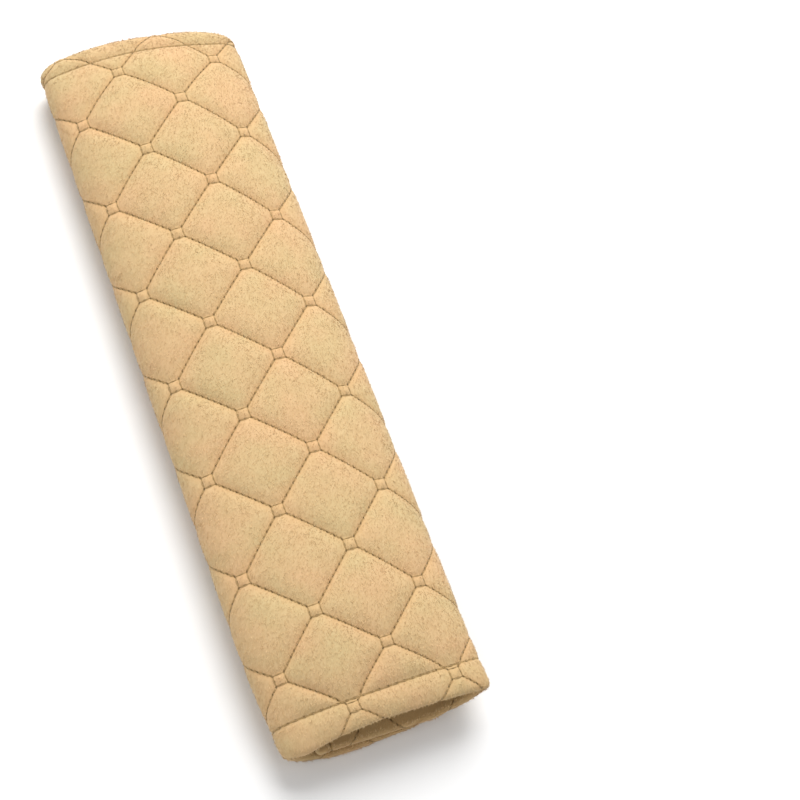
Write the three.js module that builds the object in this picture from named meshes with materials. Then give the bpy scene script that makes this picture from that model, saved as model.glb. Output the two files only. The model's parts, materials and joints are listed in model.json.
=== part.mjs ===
// Seat belt shoulder pad: one quilted plush sheet with turned-in ends, wrapped into a flat tube
// round the belt and closed along its underside by a hook tape and a loop tape.
// Millimetres. X runs across the pad, Y along the belt, Z up from the surface it lies on.
import * as THREE from 'three';

// Overall form, measured at the stitching
const padLength = 259;
const tubeWidth = 68;
const foldHeight = 11;
const foldHeightEnd = 10;
const crownRise = 12.9;
const crownRiseEnd = 8.5;
const endTaperLength = 45;

// Sheet and hems
const sheetThickness = 2.2;
const hemThickness = 3.4;
const hemDepth = 9;
const hemRise = 0.7;
const rimRadius = 1.2;
const rimDrop = 0.6;

// Quilting
const diamondAcross = 35.8;
const diamondAlong = 34.1;
const cellsPerHalfDiamond = 5;
const crossingFromCrown = 8.1;
const crossingFromNearEnd = 90.3;
const pillowRise = 1.7;
const liningRise = 0.6;
const pillowFullness = 3.2;
const crossingTuftRise = 0.4;

// Flaps of the underside
const flapBorder = 6;
const outerBendClearance = 0.5;
const innerBendClearance = 1.5;
const innerFoldRadius = 11;
const innerFoldRise = 3.6;
const flapEdgeStitch = 3.6;
const restRise = 1.2;
const restRiseEnd = 0.7;
const hemClearance = 0.5;

// Closing tapes
const tapeWidth = 25;
const tapeCentre = -2;
const tapeBaseThickness = 0.5;
const hookHeight = 0.6;
const loopHeight = 0.6;
const tapeBorder = 1.8;
const tapeToHem = 2.2;
const tapedRise = 0.3;
const tapedEasingCells = 3;
const seatGap = 0.3;

const plush = new THREE.MeshStandardMaterial({ color: 0xdab889, roughness: 0.95, metalness: 0 });
const tapeCloth = new THREE.MeshStandardMaterial({ color: 0xcbb088, roughness: 0.8, metalness: 0 });

// X places of the flaps' free edges and bends, set from the tapes that they carry
const outerFlapEdge = tapeCentre + tapeWidth / 2 + flapBorder;
const outerFlapBend = tapeCentre - tapeWidth / 2 - outerBendClearance;
const innerFlapEdge = tapeCentre - tapeWidth / 2 - flapBorder;
const innerFlapBend = tapeCentre + tapeWidth / 2 + innerBendClearance;

// Heights of the stack under the belt, from the surface up
const hookTapeFloor = restRise + sheetThickness + tapedRise + seatGap;
const loopTapeFloor = hookTapeFloor + tapeBaseThickness + hookHeight + seatGap;
const innerFlapRise = loopTapeFloor + tapeBaseThickness + loopHeight + seatGap + tapedRise;
const innerFlapRiseEnd = restRiseEnd + hemThickness + hemRise + hemClearance;

// Section of the sheet's plush face in the XZ plane, from the outer flap's edge, round the
// left fold, over the crown, round the right fold and in to the inner flap's edge
function wrapPath(crown, fold, outerRise, innerRise) {
  const half = tubeWidth / 2;
  const foldFloor = outerRise + innerFoldRise;
  const rightCentre = half - innerFoldRadius;
  const swing = (rightCentre - innerFlapBend) / 2;
  const at = (x, z) => new THREE.Vector2(x, z);
  const path = new THREE.CurvePath();
  path.add(new THREE.LineCurve(at(outerFlapEdge, outerRise), at(outerFlapBend, outerRise)));
  path.add(
    new THREE.EllipseCurve(
      outerFlapBend, fold, half + outerFlapBend, fold - outerRise, -Math.PI / 2, -Math.PI, true,
    ),
  );
  path.add(new THREE.EllipseCurve(0, fold, half, crown, Math.PI, 0, true));
  path.add(
    new THREE.EllipseCurve(rightCentre, fold, innerFoldRadius, fold - foldFloor, 0, -Math.PI / 2, true),
  );
  path.add(
    new THREE.CubicBezierCurve(
      at(rightCentre, foldFloor), at(rightCentre - swing, foldFloor),
      at(innerFlapBend + swing, innerRise), at(innerFlapBend, innerRise),
    ),
  );
  path.add(new THREE.LineCurve(at(innerFlapBend, innerRise), at(innerFlapEdge, innerRise)));
  return path;
}

const middlePath = wrapPath(crownRise, foldHeight, restRise, innerFlapRise);
const neckPath = wrapPath(crownRiseEnd, foldHeightEnd, restRise, innerFlapRise);
const mouthPath = wrapPath(crownRiseEnd, foldHeightEnd, restRiseEnd, innerFlapRiseEnd);

// Grid of the sheet: whole cells, so that every stitch line runs from corner to corner
const sheetWidth = middlePath.getLength();
const evenCount = (length, step) => 2 * Math.round(length / step / 2);
const columns = evenCount(sheetWidth, diamondAcross / 2 / cellsPerHalfDiamond);
const rows = evenCount(padLength, diamondAlong / 2 / cellsPerHalfDiamond);
const columnStep = sheetWidth / columns;
const rowStep = padLength / rows;
const cellsPerDiamond = 2 * cellsPerHalfDiamond;
const hemRows = Math.max(1, Math.round(hemDepth / rowStep));

const curveLengths = middlePath.getCurveLengths();
const crownAt = (curveLengths[1] + curveLengths[2]) / 2;
const crossingColumn = Math.floor((crownAt + crossingFromCrown) / columnStep);
const crossingRow = Math.floor(crossingFromNearEnd / rowStep);
const cellReach = Math.min(columnStep, rowStep) / Math.SQRT2;
const pillowReach = cellReach * cellsPerHalfDiamond;

const wrapTo = (value, period) => ((value % period) + period) % period;
const toNearest = (value) => {
  const rest = wrapTo(value, cellsPerDiamond);
  return Math.min(rest, cellsPerDiamond - rest);
};

// Distance from a point of the sheet, in cells from the first crossing, to the nearest stitch line
function seamDistance(column, row) {
  const across = column - crossingColumn - 0.5;
  const along = row - crossingRow - 0.5;
  return Math.min(toNearest(across - along), toNearest(across + along)) * cellReach;
}

const slopeReach = 0.002;
const ramp = (value, from, to) => THREE.MathUtils.smoothstep(value, from, to);
const pillow = (distance) => 1 - (1 - Math.min(1, Math.max(0, distance) / pillowReach)) ** pillowFullness;

// Place and outward direction of the plush face at a share of the sheet's width and a place along it
function sheetFrame(share, y) {
  const end = padLength / 2 - Math.abs(y);
  const neck = (1 - Math.min(1, end / endTaperLength)) ** 2;
  const mouth = 1 - ramp(end, 0, hemDepth + tapeToHem);
  const pointAt = (u) => {
    const point = middlePath.getPoint(u).lerp(neckPath.getPoint(u), neck);
    const lowered = mouthPath.getPoint(u).sub(neckPath.getPoint(u));
    return point.addScaledVector(lowered, mouth);
  };
  const before = pointAt(Math.max(0, share - slopeReach));
  const after = pointAt(Math.min(1, share + slopeReach));
  const tangent = after.sub(before).normalize();
  return { point: pointAt(share), tangent, normal: new THREE.Vector2(-tangent.y, tangent.x) };
}

// A point of the sheet, raised from the stitching along its outward direction, never under the floor
function lifted(share, y, rise, past = 0) {
  const { point, tangent, normal } = sheetFrame(share, y);
  const x = point.x + normal.x * rise + tangent.x * past;
  const z = point.y + normal.y * rise + tangent.y * past;
  return new THREE.Vector3(x, y, Math.max(0, z));
}

// 1 where the two flaps lie on each other and the tapes hold the sheet flat, 0 elsewhere
function innerTaped(share) {
  const fromEdge = (1 - share) * sheetWidth;
  const flat = innerFlapBend - innerFlapEdge;
  return 1 - ramp(fromEdge, flat, flat + columnStep * tapedEasingCells);
}

function outerTaped(share) {
  const fromEdge = share * sheetWidth;
  const flat = outerFlapEdge - outerFlapBend;
  return 1 - ramp(fromEdge, flat, flat + columnStep * tapedEasingCells);
}

function plushRise(column, row, share, y) {
  const end = padLength / 2 - Math.abs(y);
  const edge = Math.min(share, 1 - share) * sheetWidth - flapEdgeStitch;
  if (end < hemDepth) {
    return hemRise * Math.sin((Math.PI * end) / hemDepth);
  }
  const distance = Math.min(seamDistance(column, row), end - hemDepth, Math.max(0, edge));
  const full = pillowRise * pillow(distance);
  return THREE.MathUtils.lerp(full, Math.min(full, tapedRise), innerTaped(share));
}

function liningDepth(column, row, share, end) {
  if (end < hemDepth) {
    return hemThickness;
  }
  const full = liningRise * pillow(seamDistance(column, row));
  const taped = THREE.MathUtils.lerp(full, Math.min(full, tapedRise), outerTaped(share));
  return sheetThickness + taped;
}

const positions = [];
const faces = [];
const addPoint = (point) => positions.push(point.x, point.y, point.z) / 3 - 1;
const addFace = (a, b, c) => faces.push(a, c, b);

// Plush face, one vertex for each cell corner, with a row of vertices on each hem's stitching
function outerY(row) {
  const fromEnd = Math.min(row, rows - row);
  const end = fromEnd < hemRows ? (fromEnd * hemDepth) / hemRows : fromEnd * rowStep;
  const placed = fromEnd === hemRows ? hemDepth : Math.max(rimRadius, end);
  return Math.sign(row - rows / 2) * (padLength / 2 - placed);
}

const outer = [];
for (let column = 0; column <= columns; column += 1) {
  const share = column / columns;
  outer.push([]);
  for (let row = 0; row <= rows; row += 1) {
    const y = outerY(row);
    const rounded = row === 0 || row === rows ? -rimDrop : plushRise(column, row, share, y);
    outer[column].push(addPoint(lifted(share, y, rounded)));
  }
}

for (let column = 0; column < columns; column += 1) {
  for (let row = 0; row < rows; row += 1) {
    const a = outer[column][row];
    const b = outer[column + 1][row];
    const c = outer[column + 1][row + 1];
    const d = outer[column][row + 1];
    const across = column - crossingColumn;
    const along = row - crossingRow;
    const rising = wrapTo(across - along, cellsPerDiamond);
    const falling = wrapTo(across + along, cellsPerDiamond);
    const inHem = row < hemRows || row >= rows - hemRows;
    if (rising === 0 && falling === 0 && !inHem) {
      const share = (column + 0.5) / columns;
      const y = (row + 0.5 - rows / 2) * rowStep;
      const tuft = crossingTuftRise * (1 - innerTaped(share));
      const centre = addPoint(lifted(share, y, tuft));
      [[a, b], [b, c], [c, d], [d, a]].forEach(([from, to]) => addFace(to, from, centre));
    } else if (toNearest(rising) <= toNearest(falling)) {
      addFace(a, c, b);
      addFace(a, d, c);
    } else {
      addFace(a, d, b);
      addFace(b, d, c);
    }
  }
}

// Lining face, at twice the step, with the turned-in hem as a step near each end
const liningColumns = columns / 2;
const liningRows = rows / 2;
function liningEnd(row) {
  const fromEnd = Math.min(row, liningRows - row);
  const hemEnds = [rimRadius, hemDepth - rimRadius, hemDepth + rimRadius];
  if (fromEnd < hemEnds.length) {
    return hemEnds[fromEnd];
  }
  const first = hemEnds.length - 1;
  const step = (padLength / 2 - hemEnds[first]) / (liningRows / 2 - first);
  return hemEnds[first] + step * (fromEnd - first);
}

const inner = [];
for (let column = 0; column <= liningColumns; column += 1) {
  const share = column / liningColumns;
  inner.push([]);
  for (let row = 0; row <= liningRows; row += 1) {
    const end = liningEnd(row);
    const y = Math.sign(row - liningRows / 2) * (padLength / 2 - end);
    const depth = liningDepth(2 * column, (y + padLength / 2) / rowStep, share, end);
    const rounded = row === 0 || row === liningRows ? rimDrop - depth : -depth;
    inner[column].push(addPoint(lifted(share, y, rounded)));
  }
}
for (let column = 0; column < liningColumns; column += 1) {
  for (let row = 0; row < liningRows; row += 1) {
    const [a, b] = [inner[column][row], inner[column + 1][row]];
    const [d, c] = [inner[column][row + 1], inner[column + 1][row + 1]];
    addFace(a, b, c);
    addFace(a, c, d);
  }
}

// Rounded rim round the four edges, joining the plush face to the lining face
function boundary(grid, lastColumn, lastRow) {
  const ring = [];
  for (let column = 0; column < lastColumn; column += 1) ring.push([column, 0]);
  for (let row = 0; row < lastRow; row += 1) ring.push([lastColumn, row]);
  for (let column = lastColumn; column > 0; column -= 1) ring.push([column, lastRow]);
  for (let row = lastRow; row > 0; row -= 1) ring.push([0, row]);
  return ring.map(([column, row]) => ({ column, row, index: grid[column][row] }));
}

const outerRing = boundary(outer, columns, rows);
const innerRing = boundary(inner, liningColumns, liningRows);
const rimRing = outerRing.map(({ column, row }) => {
  const share = column / columns;
  const atEnd = row === 0 || row === rows;
  const past = column === 0 ? -rimRadius : column === columns ? rimRadius : 0;
  const y = atEnd ? Math.sign(row - rows / 2) * padLength / 2 : outerY(row);
  const inHem = padLength / 2 - Math.abs(y) < hemDepth;
  return addPoint(lifted(share, y, -(inHem ? hemThickness : sheetThickness) / 2, past));
});

const next = (ring, k) => ring[(k + 1) % ring.length];
rimRing.forEach((rim, k) => {
  const from = outerRing[k].index;
  const to = next(outerRing, k).index;
  addFace(from, to, next(rimRing, k));
  addFace(from, next(rimRing, k), rim);
});
innerRing.forEach(({ index }, k) => {
  const following = next(innerRing, k).index;
  const [first, middle] = [rimRing[2 * k], rimRing[2 * k + 1]];
  const last = rimRing[(2 * k + 2) % rimRing.length];
  addFace(first, middle, index);
  addFace(middle, following, index);
  addFace(middle, last, following);
});

function closedGeometry(points, triangles) {
  const geometry = new THREE.BufferGeometry();
  geometry.setAttribute('position', new THREE.Float32BufferAttribute(points, 3));
  geometry.setIndex(triangles);
  geometry.computeVertexNormals();
  return geometry;
}

const wrap = new THREE.Mesh(closedGeometry(positions, faces), plush);
wrap.name = 'quilted_wrap';

// A tape: woven base strip with a narrower, raised field of hooks or loops on one side
function tape(name, fieldHeight, floor, facing) {
  const half = tapeWidth / 2;
  const field = half - tapeBorder;
  const profile = new THREE.Shape();
  profile.moveTo(-half, 0);
  profile.lineTo(half, 0);
  profile.lineTo(half, tapeBaseThickness);
  profile.lineTo(field, tapeBaseThickness);
  profile.lineTo(field - fieldHeight / 2, tapeBaseThickness + fieldHeight);
  profile.lineTo(-field + fieldHeight / 2, tapeBaseThickness + fieldHeight);
  profile.lineTo(-field, tapeBaseThickness);
  profile.lineTo(-half, tapeBaseThickness);
  const length = padLength - 2 * (hemDepth + tapeToHem);
  const geometry = new THREE.ExtrudeGeometry(profile, { depth: length, bevelEnabled: false });
  geometry.translate(0, 0, -length / 2);
  geometry.rotateX(facing === 'up' ? Math.PI / 2 : -Math.PI / 2);
  const mesh = new THREE.Mesh(geometry, tapeCloth);
  mesh.name = name;
  const thickness = tapeBaseThickness + fieldHeight;
  mesh.position.set(tapeCentre, 0, facing === 'up' ? floor : floor + thickness);
  return mesh;
}

const pad = new THREE.Group();
pad.name = 'seat_belt_shoulder_pad';
pad.add(wrap);
pad.add(tape('hook_tape', hookHeight, hookTapeFloor, 'up'));
pad.add(tape('loop_tape', loopHeight, loopTapeFloor, 'down'));

export default pad;
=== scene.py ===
"""A seat belt shoulder pad: quilted short-pile plush wrapped into a flat tube, with its sewn
threads and its closing tapes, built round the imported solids. Lengths are in mm until a mesh
is made."""

import functools
import json
import logging
import math
from dataclasses import dataclass, field
from enum import Enum

import bmesh
import bpy
import numpy as np
from mathutils import Matrix, Vector

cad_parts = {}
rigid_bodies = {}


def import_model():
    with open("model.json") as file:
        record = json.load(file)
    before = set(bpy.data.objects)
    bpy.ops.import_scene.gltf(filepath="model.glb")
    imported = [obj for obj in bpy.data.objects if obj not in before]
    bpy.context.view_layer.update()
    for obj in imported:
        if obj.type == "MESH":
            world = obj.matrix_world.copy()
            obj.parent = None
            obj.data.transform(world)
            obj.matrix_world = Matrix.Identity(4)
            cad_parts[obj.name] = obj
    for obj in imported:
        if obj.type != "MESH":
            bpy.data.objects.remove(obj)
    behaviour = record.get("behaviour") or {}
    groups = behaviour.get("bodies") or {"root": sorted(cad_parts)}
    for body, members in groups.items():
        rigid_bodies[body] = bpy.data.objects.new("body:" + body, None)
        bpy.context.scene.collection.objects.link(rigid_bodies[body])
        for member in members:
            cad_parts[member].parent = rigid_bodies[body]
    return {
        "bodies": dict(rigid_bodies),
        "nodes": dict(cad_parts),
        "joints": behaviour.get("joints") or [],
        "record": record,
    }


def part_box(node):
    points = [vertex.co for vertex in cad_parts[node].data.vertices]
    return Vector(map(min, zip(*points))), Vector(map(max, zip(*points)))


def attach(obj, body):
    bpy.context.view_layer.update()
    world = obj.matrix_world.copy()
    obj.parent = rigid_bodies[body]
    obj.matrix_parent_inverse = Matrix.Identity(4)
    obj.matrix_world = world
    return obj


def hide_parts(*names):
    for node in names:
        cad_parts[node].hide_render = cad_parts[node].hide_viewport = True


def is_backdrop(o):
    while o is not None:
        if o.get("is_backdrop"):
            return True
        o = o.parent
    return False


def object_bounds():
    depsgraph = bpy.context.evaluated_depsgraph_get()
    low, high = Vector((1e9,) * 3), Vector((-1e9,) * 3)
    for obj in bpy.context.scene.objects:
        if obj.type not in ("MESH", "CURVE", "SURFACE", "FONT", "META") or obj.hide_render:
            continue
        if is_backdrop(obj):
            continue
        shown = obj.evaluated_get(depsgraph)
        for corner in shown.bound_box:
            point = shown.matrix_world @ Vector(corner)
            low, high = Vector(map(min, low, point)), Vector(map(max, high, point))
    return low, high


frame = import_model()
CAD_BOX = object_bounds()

MM = 0.001
ROOT = "root"
PHOTO_SIZE = 800
SENSOR_WIDTH = 36.0
# How finely a run of knots is sampled, and over how many samples to each side it is eased
KNOT_STEPS = 800
KNOT_EASING = 11
# Height in mm below which the cloth is pressed softly against the surface under it
REST_SOFTNESS = 0.2
LOWEST = 0.01
TAPE_STITCH_INSET = 1.2
# Sockets of a colour Mix node (share, first and second colour), and types of a group's sockets
MIX_INPUTS, MIX_OUTPUT = (0, 6, 7), 2
FLOAT, VECTOR, COLOUR = "NodeSocketFloat", "NodeSocketVector", "NodeSocketColor"
log = logging.getLogger("shoulder_pad")

Grid = np.ndarray
Knots = tuple[tuple[float, float], ...]
Colour = tuple[float, float, float, float]
Socket = bpy.types.NodeSocket

# Share of the sheet's width from the outer flap's edge, and how far the end runs out there
NEAR_RIM: Knots = (
    (0.0, -1.8), (0.034, -0.6), (0.07, -0.4), (0.117, 0.2), (0.153, 0.4), (0.19, 0.2), (0.232, -1.0),
    (0.27, -2.4), (0.295, -2.2), (0.334, -0.9), (0.36, -1.3), (0.41, -2.2), (0.46, -2.7), (0.53, -2.7),
    (0.625, -2.5), (0.69, -3.0), (0.74, -1.6), (0.79, -0.2), (1.0, -0.6),
)
NEAR_HEM: Knots = (
    (0.0, 0.0), (0.2, -0.4), (0.285, -1.4), (0.49, -1.8), (0.69, -2.9), (0.8, -1.5), (1.0, 0.0),
)
FAR_RIM: Knots = (
    (0.0, 0.0), (0.15, -0.5), (0.22, -2.0), (0.285, -4.6), (0.34, -2.0), (0.43, -1.4), (0.49, -1.7),
    (0.585, -2.4), (0.625, -3.0), (0.66, -4.4), (0.69, -6.0), (0.76, -3.0), (0.8, -1.5), (1.0, 0.0),
)
FAR_HEM: Knots = (
    (0.0, 0.0), (0.285, 0.1), (0.42, 0.35), (0.49, 0.3), (0.61, -0.7), (0.69, -0.7), (1.0, 0.0),
)


def smoothstep(value: Grid, low: float, high: float) -> Grid:
    """Smooth ramp from 0 at low to 1 at high."""
    share = np.clip((value - low) / (high - low), 0.0, 1.0)
    return share * share * (3.0 - 2.0 * share)


def eased(share: Grid, knots: Knots) -> Grid:
    """Value of a run of knots, eased between them.

    Args:
        share: Places along the run, 0 to 1.
        knots: Pairs of place and value.

    Returns:
        The values.
    """
    places, values = zip(*knots)
    fine = np.linspace(0.0, 1.0, KNOT_STEPS + 1)
    kernel = np.hanning(2 * KNOT_EASING + 1)
    kernel /= kernel.sum()
    padded = np.pad(np.interp(fine, places, values), KNOT_EASING, mode="edge")
    return np.interp(share, fine, np.convolve(padded, kernel, mode="valid"))


def pressed(height: Grid) -> Grid:
    """Heights over the surface that the pad lies on, pressed softly so that none is under it."""
    low = REST_SOFTNESS * np.exp(np.minimum(height / REST_SOFTNESS - 1.0, 0.0))
    return np.where(height < REST_SOFTNESS, low, height)


def unit(directions: Grid) -> Grid:
    """Directions in the last axis, made one long."""
    return directions / np.linalg.norm(directions, axis=-1, keepdims=True)


def quads_between(index: Grid) -> Grid:
    """Quads of one or more grids of vertex indices, one row each."""
    corners = [index[..., :-1, :-1], index[..., 1:, :-1], index[..., 1:, 1:], index[..., :-1, 1:]]
    return np.stack(corners, -1).reshape(-1, 4)


def vertex_values(mesh: bpy.types.Mesh, name: str = "co") -> Grid:
    """Reads values of a mesh's vertices.

    Args:
        mesh: The mesh.
        name: Name of the value: co for places, or normal.

    Returns:
        The values, one row for each vertex.
    """
    values = np.empty(len(mesh.vertices) * 3)
    mesh.vertices.foreach_get(name, values)
    return values.reshape(-1, 3)


def from_screen(red: int, green: int, blue: int) -> Colour:
    """Linear, opaque colour of a screen colour given in 0 to 255."""
    shares = (red / 255, green / 255, blue / 255)
    return (*(s / 12.92 if s <= 0.04045 else ((s + 0.055) / 1.055) ** 2.4 for s in shares), 1.0)


class Station(Enum):
    """Where along the pad a section of the tube is taken."""

    MIDDLE = "middle"
    NECK = "neck"
    MOUTH = "mouth"
    NEAR_NECK = "near neck"
    NEAR_MOUTH = "near mouth"


class Side(Enum):
    """Face of the sheet, with the direction that its thread stands out in."""

    PLUSH = 1.0
    LINING = -1.0


@dataclass
class WrapForm:
    """The folded sheet's section and how it slims towards the ends."""

    length: float
    tube_width: float = 68.0
    fold_height: float = 11.0
    fold_height_end: float = 10.0
    crown_rise: float = 12.9
    crown_rise_end: float = 8.5
    end_taper: float = 45.0
    hem_depth: float = 9.0
    tape_width: float = 25.0
    tape_centre: float = -2.0
    tape_thickness: float = 1.1
    tape_to_hem: float = 2.2
    flap_border: float = 6.0
    outer_bend_clearance: float = 0.5
    inner_bend_clearance: float = 1.5
    fold_radius: float = 11.0
    fold_rise: float = 3.6
    rest_rise: float = 1.2
    rest_rise_end: float = 0.7
    sheet_thickness: float = 2.2
    hem_thickness: float = 3.4
    hem_rise: float = 0.7
    taped_rise: float = 0.3
    hem_clearance: float = 0.5
    seat_gap: float = 0.3
    near_fold_left: float = 9.0
    near_fold_right: float = 14.5
    near_half_left: float = 31.3
    near_handles: tuple[float, float] = (6.0, 8.0)
    samples: int = 4000
    line_points: int = 100
    curve_points: int = 400
    tangent_reach: float = 0.4
    paths: dict[Station, Grid] = field(default_factory=dict)

    def __post_init__(self) -> None:
        """Works out the section path of each station, evenly spaced along the sheet."""
        inner = self.loop_floor + self.tape_thickness + self.seat_gap + self.taped_rise
        inner_end = self.rest_rise_end + self.hem_thickness + self.hem_rise + self.hem_clearance
        fold, top = self.fold_height, self.fold_height + self.crown_rise
        end_fold, end_top = self.fold_height_end, self.fold_height_end + self.crown_rise_end
        half = self.tube_width / 2
        near = (self.near_half_left, end_top, self.near_fold_left, self.near_fold_right)
        heights = {
            Station.MIDDLE: (half, top, fold, fold, self.rest_rise, inner),
            Station.NECK: (half, end_top, end_fold, end_fold, self.rest_rise, inner),
            Station.MOUTH: (half, end_top, end_fold, end_fold, self.rest_rise_end, inner_end),
            Station.NEAR_NECK: (*near, self.rest_rise, inner),
            Station.NEAR_MOUTH: (*near, self.rest_rise_end, inner_end),
        }
        for station, sizes in heights.items():
            self.paths[station] = self.section(*sizes)
        path = self.paths[Station.MIDDLE]
        spans = np.hypot(*np.diff(path, axis=0).T)
        self.sheet_width = float(spans.sum())
        top = int(np.argmax(path[:, 1]))
        self.crown_at = float(spans[:top].sum())
        sides = (int(np.argmin(path[:, 0])), int(np.argmax(path[:, 0])))
        self.widest = tuple(float(spans[:side].sum()) for side in sides)

    @property
    def tape_left(self) -> float:
        """Place of the tapes' left edge across the pad."""
        return self.tape_centre - self.tape_width / 2

    @property
    def tape_right(self) -> float:
        """Place of the tapes' right edge across the pad."""
        return self.tape_centre + self.tape_width / 2

    @property
    def hook_floor(self) -> float:
        """Height of the hook tape's underside."""
        return self.rest_rise + self.sheet_thickness + self.taped_rise + self.seat_gap

    @property
    def loop_floor(self) -> float:
        """Height of the loop tape's underside."""
        return self.hook_floor + self.tape_thickness + self.seat_gap

    @property
    def tape_length(self) -> float:
        """Length of each tape, from hem to hem."""
        return self.length - 2 * (self.hem_depth + self.tape_to_hem)

    def from_flap_edge(self, across: Grid) -> Grid:
        """Distance from the nearer flap's free edge."""
        return np.minimum(across, self.sheet_width - across)

    def section(
        self, left: float, top: float, fold_left: float, fold_right: float, outer_rise: float,
        inner_rise: float,
    ) -> Grid:
        """Plush face of the sheet across the tube, from the outer flap's edge to the inner one's.

        Args:
            left: Distance of the widest place on the left from the middle.
            top: Height of the crown.
            fold_left: Height of the widest place on the left.
            fold_right: The same on the right, where a higher one slants the wall under it.
            outer_rise: Height of the outer flap's plush face.
            inner_rise: Height of the inner flap's plush face.

        Returns:
            Evenly spaced points across and up, one row each.
        """
        half = self.tube_width / 2
        outer_bend = self.tape_left - self.outer_bend_clearance
        inner_bend = self.tape_right + self.inner_bend_clearance
        right_centre = half - self.fold_radius
        floor = outer_rise + self.fold_rise

        bend = (inner_bend, inner_rise)
        if fold_right > fold_left:
            down, inwards = self.near_handles
            beside = (inner_bend + inwards, inner_rise)
            right = [self.swing((half, fold_right), (half, fold_right - down), beside, bend)]
        else:
            halfway = (right_centre + inner_bend) / 2
            right = [
                self.arc((right_centre, fold_right), (self.fold_radius, fold_right - floor), 0, -90),
                self.swing((right_centre, floor), (halfway, floor), (halfway, inner_rise), bend),
            ]
        stretches = [
            self.line((self.tape_right + self.flap_border, outer_rise), (outer_bend, outer_rise)),
            self.arc((outer_bend, fold_left), (left + outer_bend, fold_left - outer_rise), 270, 180),
            self.arc((0, fold_left), (left, top - fold_left), 180, 90),
            self.arc((0, fold_right), (half, top - fold_right), 90, 0),
            *right,
            self.line(bend, (self.tape_left - self.flap_border, inner_rise)),
        ]
        points = np.concatenate([stretches[0]] + [stretch[1:] for stretch in stretches[1:]])
        along = np.concatenate([[0.0], np.cumsum(np.hypot(*np.diff(points, axis=0).T))])
        even = np.linspace(0.0, along[-1], self.samples)
        return np.stack([np.interp(even, along, points[:, axis]) for axis in (0, 1)], 1)

    def line(self, start: tuple[float, float], end: tuple[float, float]) -> Grid:
        """Points of a straight stretch."""
        return np.linspace(start, end, self.line_points)

    def arc(
        self, centre: tuple[float, float], radii: tuple[float, float], start: float, end: float
    ) -> Grid:
        """Points of an elliptical arc between two angles in degrees."""
        angle = np.radians(np.linspace(start, end, self.curve_points))
        return np.stack([np.cos(angle), np.sin(angle)], 1) * radii + centre

    def swing(self, *corners: tuple[float, float]) -> Grid:
        """Points of a cubic curve.

        Args:
            corners: Its four corners.

        Returns:
            The points, one row each.
        """
        share = np.linspace(0.0, 1.0, self.curve_points)[:, None]
        weights = [math.comb(3, n) * share**n * (1 - share) ** (3 - n) for n in range(4)]
        return sum(weight * np.array(corner) for weight, corner in zip(weights, corners))

    def section_at(self, across: Grid, end: Grid, far: Grid) -> Grid:
        """Place of the plush face's stitching level.

        Args:
            across: Distance across the sheet from the outer flap's edge.
            end: Distance from the nearer end of the pad.
            far: Whether the nearer end is the far one.

        Returns:
            Places across and up, in the last axis.
        """
        share = np.clip(across / self.sheet_width, 0.0, 1.0) * (self.samples - 1)
        steps = np.arange(self.samples)
        placed = {
            station: np.stack([np.interp(share, steps, path[:, axis]) for axis in (0, 1)], -1)
            for station, path in self.paths.items()
        }
        neck = (1.0 - np.clip(end / self.end_taper, 0.0, 1.0))[..., None] ** 2
        mouth = 1.0 - smoothstep(end, 0.0, self.hem_depth + self.tape_to_hem)[..., None]
        far = np.broadcast_to(far, across.shape)[..., None]
        at_neck = np.where(far, placed[Station.NECK], placed[Station.NEAR_NECK])
        at_mouth = np.where(far, placed[Station.MOUTH], placed[Station.NEAR_MOUTH])
        return placed[Station.MIDDLE] * (1 - neck) + at_neck * neck + (at_mouth - at_neck) * mouth

    def end_shift(self, across: Grid, end: Grid, far: Grid) -> Grid:
        """How far each end's rim and hem line run out along the pad, or fall short of it.

        Args:
            across: Distance across the sheet from the outer flap's edge.
            end: Distance from the nearer end of the pad.
            far: Whether the nearer end is the far one.

        Returns:
            Distance outwards along the pad.
        """
        share = across / self.sheet_width
        at_rim = 1 - smoothstep(end, 0, self.hem_depth)
        at_hem = smoothstep(end, 0, self.hem_depth) * (1 - smoothstep(end, self.hem_depth, self.end_taper))
        near_out = eased(share, NEAR_RIM) * at_rim + eased(share, NEAR_HEM) * at_hem
        far_out = eased(share, FAR_RIM) * at_rim + eased(share, FAR_HEM) * at_hem
        return np.where(far, far_out, near_out)

    def place(self, across: Grid, end: Grid, far: Grid, rise: Grid, past: Grid) -> Grid:
        """Points of the sheet in the pad's own frame, never under the surface it lies on.

        Args:
            across: Distance across the sheet from the outer flap's edge.
            end: Distance from the nearer end of the pad.
            far: Whether the nearer end is the far one.
            rise: Distance outwards from the stitching's level.
            past: Distance beyond the place along the sheet's own direction.

        Returns:
            Points in the last axis.
        """
        across, end, far, rise, past = np.broadcast_arrays(across, end, far, rise, past)
        reach = self.tangent_reach
        after, before = (self.section_at(across + way, end, far) for way in (reach, -reach))
        tangent = unit(after - before)
        level = self.section_at(across, end, far)
        x = level[..., 0] - tangent[..., 1] * rise + tangent[..., 0] * past
        z = level[..., 1] + tangent[..., 0] * rise + tangent[..., 1] * past
        y = self.length / 2 - end + self.end_shift(across, end, far)
        return np.stack([x, np.where(far, y, -y), pressed(z)], -1)


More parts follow.
